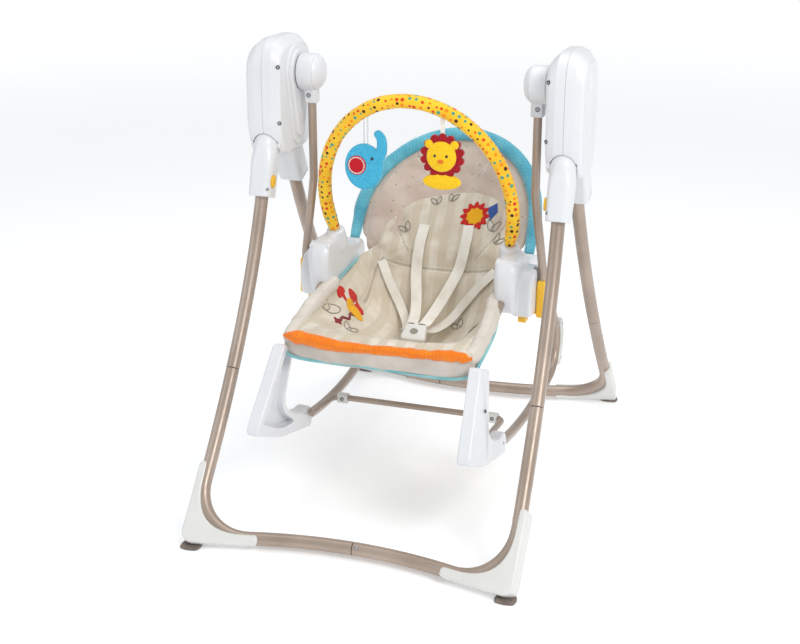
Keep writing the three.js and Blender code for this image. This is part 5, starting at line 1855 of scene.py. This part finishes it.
def add_prints(tree):
    """The liner's own prints: leaf outlines, a red and yellow flower, a sunflower with a blue leaf, and a
    plum-coloured vine."""

    def ink(name, shapes, look):
        over_joint(name, joined(shapes), look)

    def on_seat(outline, lift=PRINT_LIFT):
        return filled(outline, tree, seat_place, lift)

    def on_back(outline, lift=PRINT_LIFT):
        return filled(outline, tree, back_place, lift)

    seat_places = [(-158, 262, 180, 1.35), (-112, 262, 190, 1.1), (118, 196, 170, 1.25), (70, 120, 205, 1.1)]
    back_places = [(-30, 118, -20, 0.85), (-2, 124, 12, 0.85), (92, 60, 10, 1.0), (104, 36, 40, 0.9)]
    back_places.append((-82, 52, -35, 1.0))
    for name, places, placed in (("seat", seat_places, seat_place), ("back", back_places, back_place)):
        leaves = [outlined(outline, tree, placed) for outline in leaf_pairs(places)]
        ink(f"{name}_leaf_prints", leaves, INK_GREY)
    flower = (54, 88)
    red = [on_seat(petal(32, 30, 70, (-150, 176))), on_seat(bloom(13, 5, 0.45, (-158, 206)))]
    ink("red_prints", red + [on_back(bloom(31, 12, 0.24, flower))], INK_RED)
    yellow = [on_seat(petal(32, 30, 88, (-146, 200)), 1.35), on_back(bloom(18, 9, 0.14, flower), 1.4)]
    ink("yellow_prints", yellow, INK_YELLOW)
    ink("blue_prints", [on_back([(78, 104), (96, 114), (99, 97), (87, 78)])], INK_BLUE)
    vine = [(-126, 206), (-133, 218), (-129, 230), (-136, 242), (-133, 254)]
    curl = [tuple(p) for p in smooth_path(vine, 24)]
    stem = [tuple(np.array(p) + (2.4, 0.8)) for p in reversed(curl)]
    plum = [outlined(curl + stem, tree, seat_place, 2.6), on_seat(bloom(8, 4, 0.4, (-134, 260)))]
    ink("plum_prints", plum, INK_PLUM)


# ------------------------------------------------------------------ seat trim and harness
def bolster_path():
    spots = [(160, -44, 401), (168, -84, 391), (173, -130, 379), (175, -180, 366)]
    return smooth_path(spots + [(174, -224, 355), (168, -254, 348)], 70)


def bolster():
    """The padded side of the seat, wrapped over the frame's side tube."""

    def size(share):
        return 0.55 + 0.45 * min(1, 9 * share + 0.2, 7 * (1 - share) + 0.35)

    roll = sweep(bolster_path(), ellipse(15.5, 14.5, sides=36), size)
    return rippled(roll, 2.2, 30, 7.7, 0.8)


def seat_piping():
    """One length of piping: along each side of the seat and round under the front flap."""
    side = [(157, 92, 411), (160, 40, 405), (160, -10, 399), (161, -50, 394), (171, -84, 386)]
    side += [(184, -120, 377), (190, -165, 368), (191, -210, 357), (188, -244, 345), (181, -262, 329)]
    front = [(150, -263, 316), (90, -262, 314), (30, -262, 316), (-40, -262, 318), (-100, -262, 317)]
    front.append((-150, -262, 319))
    left = [(-174, -256, 324), (-176, -232, 334), (-176, -180, 348), (-174, -130, 362), (-168, -92, 378)]
    left += [(-160, -58, 394), (-160, -10, 400), (-160, 40, 406), (-158, 92, 411)]
    return smooth_path(side + front + left, 260)


def front_roll():
    """The terry roll along the seat's front edge: fuller towards the ends, gathered at the right."""
    left, right = -181, 177
    path = []
    for x in np.linspace(left, right, 170):
        z = 352.5 + 1.6 * math.sin(x / 41) + 4.5 * smoothstep(abs(x), 70, 150)
        path.append((x, -262 + 5 * (x / 180) ** 2, z))

    def size(share):
        x = lerp(left, right, share)
        tip = min(1, ((x + 183) / 26) ** 0.7, max((179 - x) / 24, 0.0) ** 0.7 + 0.1)
        full = 0.84 + 0.34 * smoothstep(-x, 20, 120) + 0.16 * smoothstep(x, 90, 140)
        ruffle = 0.10 * math.sin(x / 4.2) * smoothstep(x, 70, 120) + 0.04 * math.sin(x / 9.0)
        return np.array((0.9 * tip * full, tip * (full + ruffle)))

    return sweep(path, ellipse(9.5, 10.5, sides=34), size, first=(0, -1, 0))


def front_flap():
    """The flap of cover fabric that hangs from the roll, over the frame's front tube."""
    columns, rows = 130, 15
    half, drop = 181, 36
    points, cloth = [], []
    for i in range(rows):
        for j in range(columns):
            x = lerp(-half, half, j / (columns - 1))
            share = i / (rows - 1)
            bottom = 316 + 2.0 * math.sin(x / 37) + 7 * smoothstep(abs(x), 150, half)
            fold = 1.5 * noise.noise(Vector((x / 26, share * 1.2, 9.3))) * share
            y = -263.5 + 14 * (x / half) ** 6 - 1.2 * math.sin(math.pi * share) + fold
            points.append((x, y, lerp(350, bottom, share)))
            cloth.append((x, share * drop, NO_SEAM))
    faces = [face[::-1] for face in grid_faces(rows, columns)]
    return Shape(points, faces, cloth)


def thickened(obj, depth):
    """Gives a sheet its own small thickness."""
    modifier = obj.modifiers.new("thickness", "SOLIDIFY")
    modifier.thickness = depth
    modifier.offset = 0
    apply_modifiers(obj)


def strap(spots, normals, width, thickness=1.7):
    return sweep(spots, superellipse(width / 2, thickness / 2, 6, 28), normals=normals)


def laid_strap(tree, rows, place, pull, times, width):
    """A strap along the liner's rows. place gives across and lift from the share of its length; pull is the
    buckle end and the share from which the strap is drawn to it."""
    end, start = pull
    spots, normals = [], []
    for i, row in enumerate(rows):
        share = i / (len(rows) - 1)
        spot, normal = on_liner(tree, row, *place(share))
        spots.append(lerp(spot, np.array(end), smoothstep(share, start, 1)))
        normals.append(normal)
    return strap(smoothed(np.array(spots), times), smoothed(np.array(normals), times), width)


def shoulder_strap(tree, sign):
    def place(share):
        across = sign * lerp(0.34, 0.085, smoothstep(share, 0.25, 1))
        return across, 2.6 + 9 * math.sin(math.pi * share) ** 2 * 0.7

    rows = np.linspace(SEAT_ROWS + 9.2, 38.5, 60)
    return laid_strap(tree, rows, place, ((sign * 12, -27, 321), 0.55), 8, 22)


def waist_strap(tree, sign):
    def place(share):
        return sign * lerp(0.78, 0.1, share**0.9), 2.4 + 5 * math.sin(math.pi * share)

    rows = np.linspace(SEAT_ROWS - 7, 34, 44)
    return laid_strap(tree, rows, place, ((sign * 22, -36, 312), 0.6), 6, 18)


def crotch_strap(tree):
    spots, normals = [], []
    for row in np.linspace(19, 31, 24):
        spot, normal = on_liner(tree, row, 0, 3.0 + 6 * smoothstep(row, 22, 31))
        spots.append(spot)
        normals.append(normal)
    return strap(smoothed(np.array(spots), 4), smoothed(np.array(normals), 4), 26)


def add_harness(tree):
    straps = [made(tree, sign) for sign in (-1, 1) for made in (shoulder_strap, waist_strap)]
    over_joint("harness_straps", joined(straps), WEBBING)
    piece("harness_crotch_strap", crotch_strap(tree), WEBBING, "seat", (), 60)
    add_buckle()


def smoothed(values, times):
    for _ in range(times):
        inner = (values[:-2] + 2 * values[1:-1] + values[2:]) / 4
        values = np.vstack([values[:1], inner, values[-1:]])
    return values


def add_buckle():
    place = Matrix.Translation((0, -36, 306)) @ Matrix.Rotation(math.radians(38), 4, "X") @ UPRIGHT
    body = plate(rounded([(-26, -20, 9), (26, -20, 9), (20, 20, 9), (-20, 20, 9)]), 0, 11, 3.4, 4, crown=0.9)
    slot = plate(superellipse(8, 1.7, 5), -3, 15, 0.1, 1)
    slots = [slot.moved(Matrix.Translation((0, x, 15.5))) for x in (-12, 12)]
    press = plate(ellipse(8, 6.5, (0, -2)), 10.2, 13.2, 1.2, 3, crown=0.5)
    piece("harness_buckle_visual", cut(body, *slots).moved(place), CREAM, "seat", ["harness_buckle"], 35)
    piece("harness_buckle_press", press.moved(place), INK_GREY, "seat")


def add_soft_goods():
    shape, pins = liner_shape()
    shape = stuffed(shape, pins, 7, 4.0, 0.03)
    shape = rippled(shape, 1.1, 34, 1.4)
    liner = over_joint("seat_liner_visual", shape, LINER, ["seat_pad"], 1)
    tree = surface_of(shape)
    roll = bolster()
    for side, made in (("right", roll), ("left", roll.mirrored())):
        pad = piece(f"seat_bolster_{side}", made, SIDE, "seat", (), 180, 1)
    edge = piece("seat_front_roll", rippled(front_roll(), 1.3, 12, 2.2), ORANGE, "seat", (), 180)
    flap = solid("seat_front_flap", front_flap(), FLAP, 180)
    thickened(flap, 0.0012)
    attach(flap, "seat")
    piping = piece("seat_piping", sweep(seat_piping(), ellipse(2.9, 2.9, sides=14)), PIPING, "seat", (), 180)
    add_prints(tree)
    add_harness(tree)


# ------------------------------------------------------------------ toy bar and toys
def add_toy_bar():
    shares = np.linspace(0, 1, 260)
    path = np.array([toy_point(share) for share in shares])
    cover = sweep(
        path,
        ellipse(TOY_BAR_RADIUS, TOY_BAR_RADIUS, sides=TOY_BAR_SIDES),
        lambda s: 0.62 + 0.38 * min(1, (s / 0.035) ** 0.6, ((1 - s) / 0.035) ** 0.6),
    )
    change = np.zeros((len(shares), TOY_BAR_SIDES))
    for i, share in enumerate(shares):
        gathered = math.exp(-min(share, 1 - share) / 0.02)
        for j in range(TOY_BAR_SIDES):
            turn = 2 * math.pi * j / TOY_BAR_SIDES
            spot = Vector((math.cos(turn) * 1.4, math.sin(turn) * 1.4, share * 42))
            change[i, j] = 0.75 * noise.noise(spot) + 0.8 * gathered * math.cos(9 * turn)
    waved(cover, TOY_BAR_SIDES, change)
    made = piece("toy_bar_visual", cover, TOY_CLOTH, "toy_bar", ["toy_bar"], 180)
    lean = toy_lean()
    plug_profile = ellipse(7.6, 7.6, sides=28)
    plugs = [sweep([toy_point(s) - lean * 19.5, toy_point(s) + lean * 8], plug_profile) for s in (0, 1)]
    piece("toy_bar_plugs", joined(plugs), CREAM, "toy_bar")


def hang_point(share):
    """The top of a toy, 23 mm below the middle of the bar."""
    return toy_point(share) - (0, 0, 23)


FRONT_VIEW = Matrix(((0, 1, 0, 0), (-1, 0, 0, 0), (0, 0, 1, 0), (0, 0, 0, 1)))


def plush_plate(outline, back, front, bevel, crown=1.5):
    """A stuffed plate seen from the front: its outline is in X and Z, its depth runs forward."""
    return plate(outline, back, front, bevel, 4, crown).moved(FRONT_VIEW)


def scalloped(radius, count, depth, centre):
    outline = []
    for t in np.linspace(0, 2 * math.pi, count * 10 + 1)[:-1]:
        reach = radius - depth + depth * abs(math.sin(count * t / 2)) ** 0.7
        outline.append((centre[0] + reach * math.cos(t), centre[1] + reach * math.sin(t)))
    return outline


def toy_strap(x, low, top, width=8.5):
    spots = [(x, 0.5, z) for z in np.linspace(low, top, 8)]
    return strap(spots, [(0, -1, 0)] * 8, width, 1.2)


def add_lion():
    """A plain lion: a scalloped mane, a round face with two ears, and a rounded body below it."""
    head = (0, -60)
    body = [
        plush_plate(ellipse(36, 15, (0, -107)), -5.5, 6, 4.5, 1.5),
        plush_plate(ellipse(28, 28, head), 1, 9, 3.5, 2.5),
    ]
    body += [plush_plate(ellipse(8, 8, (x, -38)), 1, 8, 3, 1) for x in (-24, 24)]
    eyes = [plush_plate(ellipse(2.5, 2.7, (x, -58)), 9.5, 12, 1.1, 0.4) for x in (-11, 11)]
    parts = {
        "mane": (LION_RED, [plush_plate(scalloped(42, 14, 7, head), -6, 5, 3, 2)]),
        "body": (LION_YELLOW, body),
        "nose": (LION_NOSE, [plush_plate(ellipse(5.5, 4, (0, -68)), 10, 13, 1.4, 0.8)]),
        "eyes": (EYE_BLACK, eyes),
        "strap": (WEBBING, [toy_strap(0, -26, 12)]),
    }
    add_toy("lion", parts, Matrix.Translation(hang_point(LION_SHARE)), "lion_toy")


def add_toy(name, parts, place, body):
    first = True
    for part, (look, shapes) in parts.items():
        shape = joined(shapes).moved(place)
        replaces = [f"{name}_toy"] if first else []
        made = piece(f"{name}_{part}", shape, look, body, replaces, 60)
        first = False


def trunk_outline():
    """A ribbon that rises from the head, narrows and ends in a round tip."""
    spine = np.array(smooth_path([(14, -80), (29, -56), (30, -30), (18, -16)], 28))
    share = np.linspace(0, 1, len(spine))
    ahead = tangents(spine)
    half = (12 - 5 * share) * np.sqrt(1 - share**12)
    aside = np.column_stack([-ahead[:, 1], ahead[:, 0]]) * half[:, None]
    ring = np.vstack([spine - aside, (spine + aside)[-2::-1]])
    return [tuple(spot) for spot in ring]


def add_elephant():
    """A plain elephant: a round body, a raised trunk, and a round ear with a beaded edge."""
    ear = (-16, -80)
    bead_places = ellipse(15, 15, ear, 30)
    body = [
        plush_plate(ellipse(37, 43, (-4, -83)), -6.5, 6.5, 4.5, 0),
        plush_plate(trunk_outline(), -5.5, 5.5, 3.5, 0),
    ]
    parts = {
        "body": (BLUE_PLUSH, body),
        "ear": (RED_FELT, [plush_plate(ellipse(18, 18, ear), 4.5, 8.2, 1.4, 0.3)]),
        "ear_trim": (
            WHITE_TRIM,
            [plush_plate(ellipse(1.25, 1.25, spot, 10), 7.6, 9.6, 0.6, 0.3) for spot in bead_places],
        ),
        "eye": (EYE_BLACK, [plush_plate(ellipse(2.6, 2.8, (14, -66)), 5, 8.4, 1.0, 0.4)]),
        "strap": (CLEAR, [toy_strap(x, -44, 12, 2.6) for x in (-4, 3)]),
    }
    add_toy("elephant", parts, Matrix.Translation(hang_point(ELEPHANT_SHARE)), "elephant_toy")


# ------------------------------------------------------------------ CAD nodes that stay
def finish_kept_nodes():
    """The drive and electronics inside the left housing, and the axles, keep their CAD shapes."""
    looks = {
        "axle_left": STEEL,
        "axle_right": STEEL,
        "motor": STEEL,
        "drive_sector": GEAR,
        "motor_pinion": GEAR,
        "battery_pack": DARK,
        "speaker": DARK,
        "circuit_board": BOARD,
    }
    for node, look in looks.items():
        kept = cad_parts[node]
        kept.data.materials.clear()
        kept.data.materials.append(look)


add_camera()
add_light()
add_floor()
add_stand()
add_fold_joint()
add_housings()
add_swing()
add_seat_frame()
add_back()
add_soft_goods()
add_toy_bar()
add_lion()
add_elephant()
finish_kept_nodes()
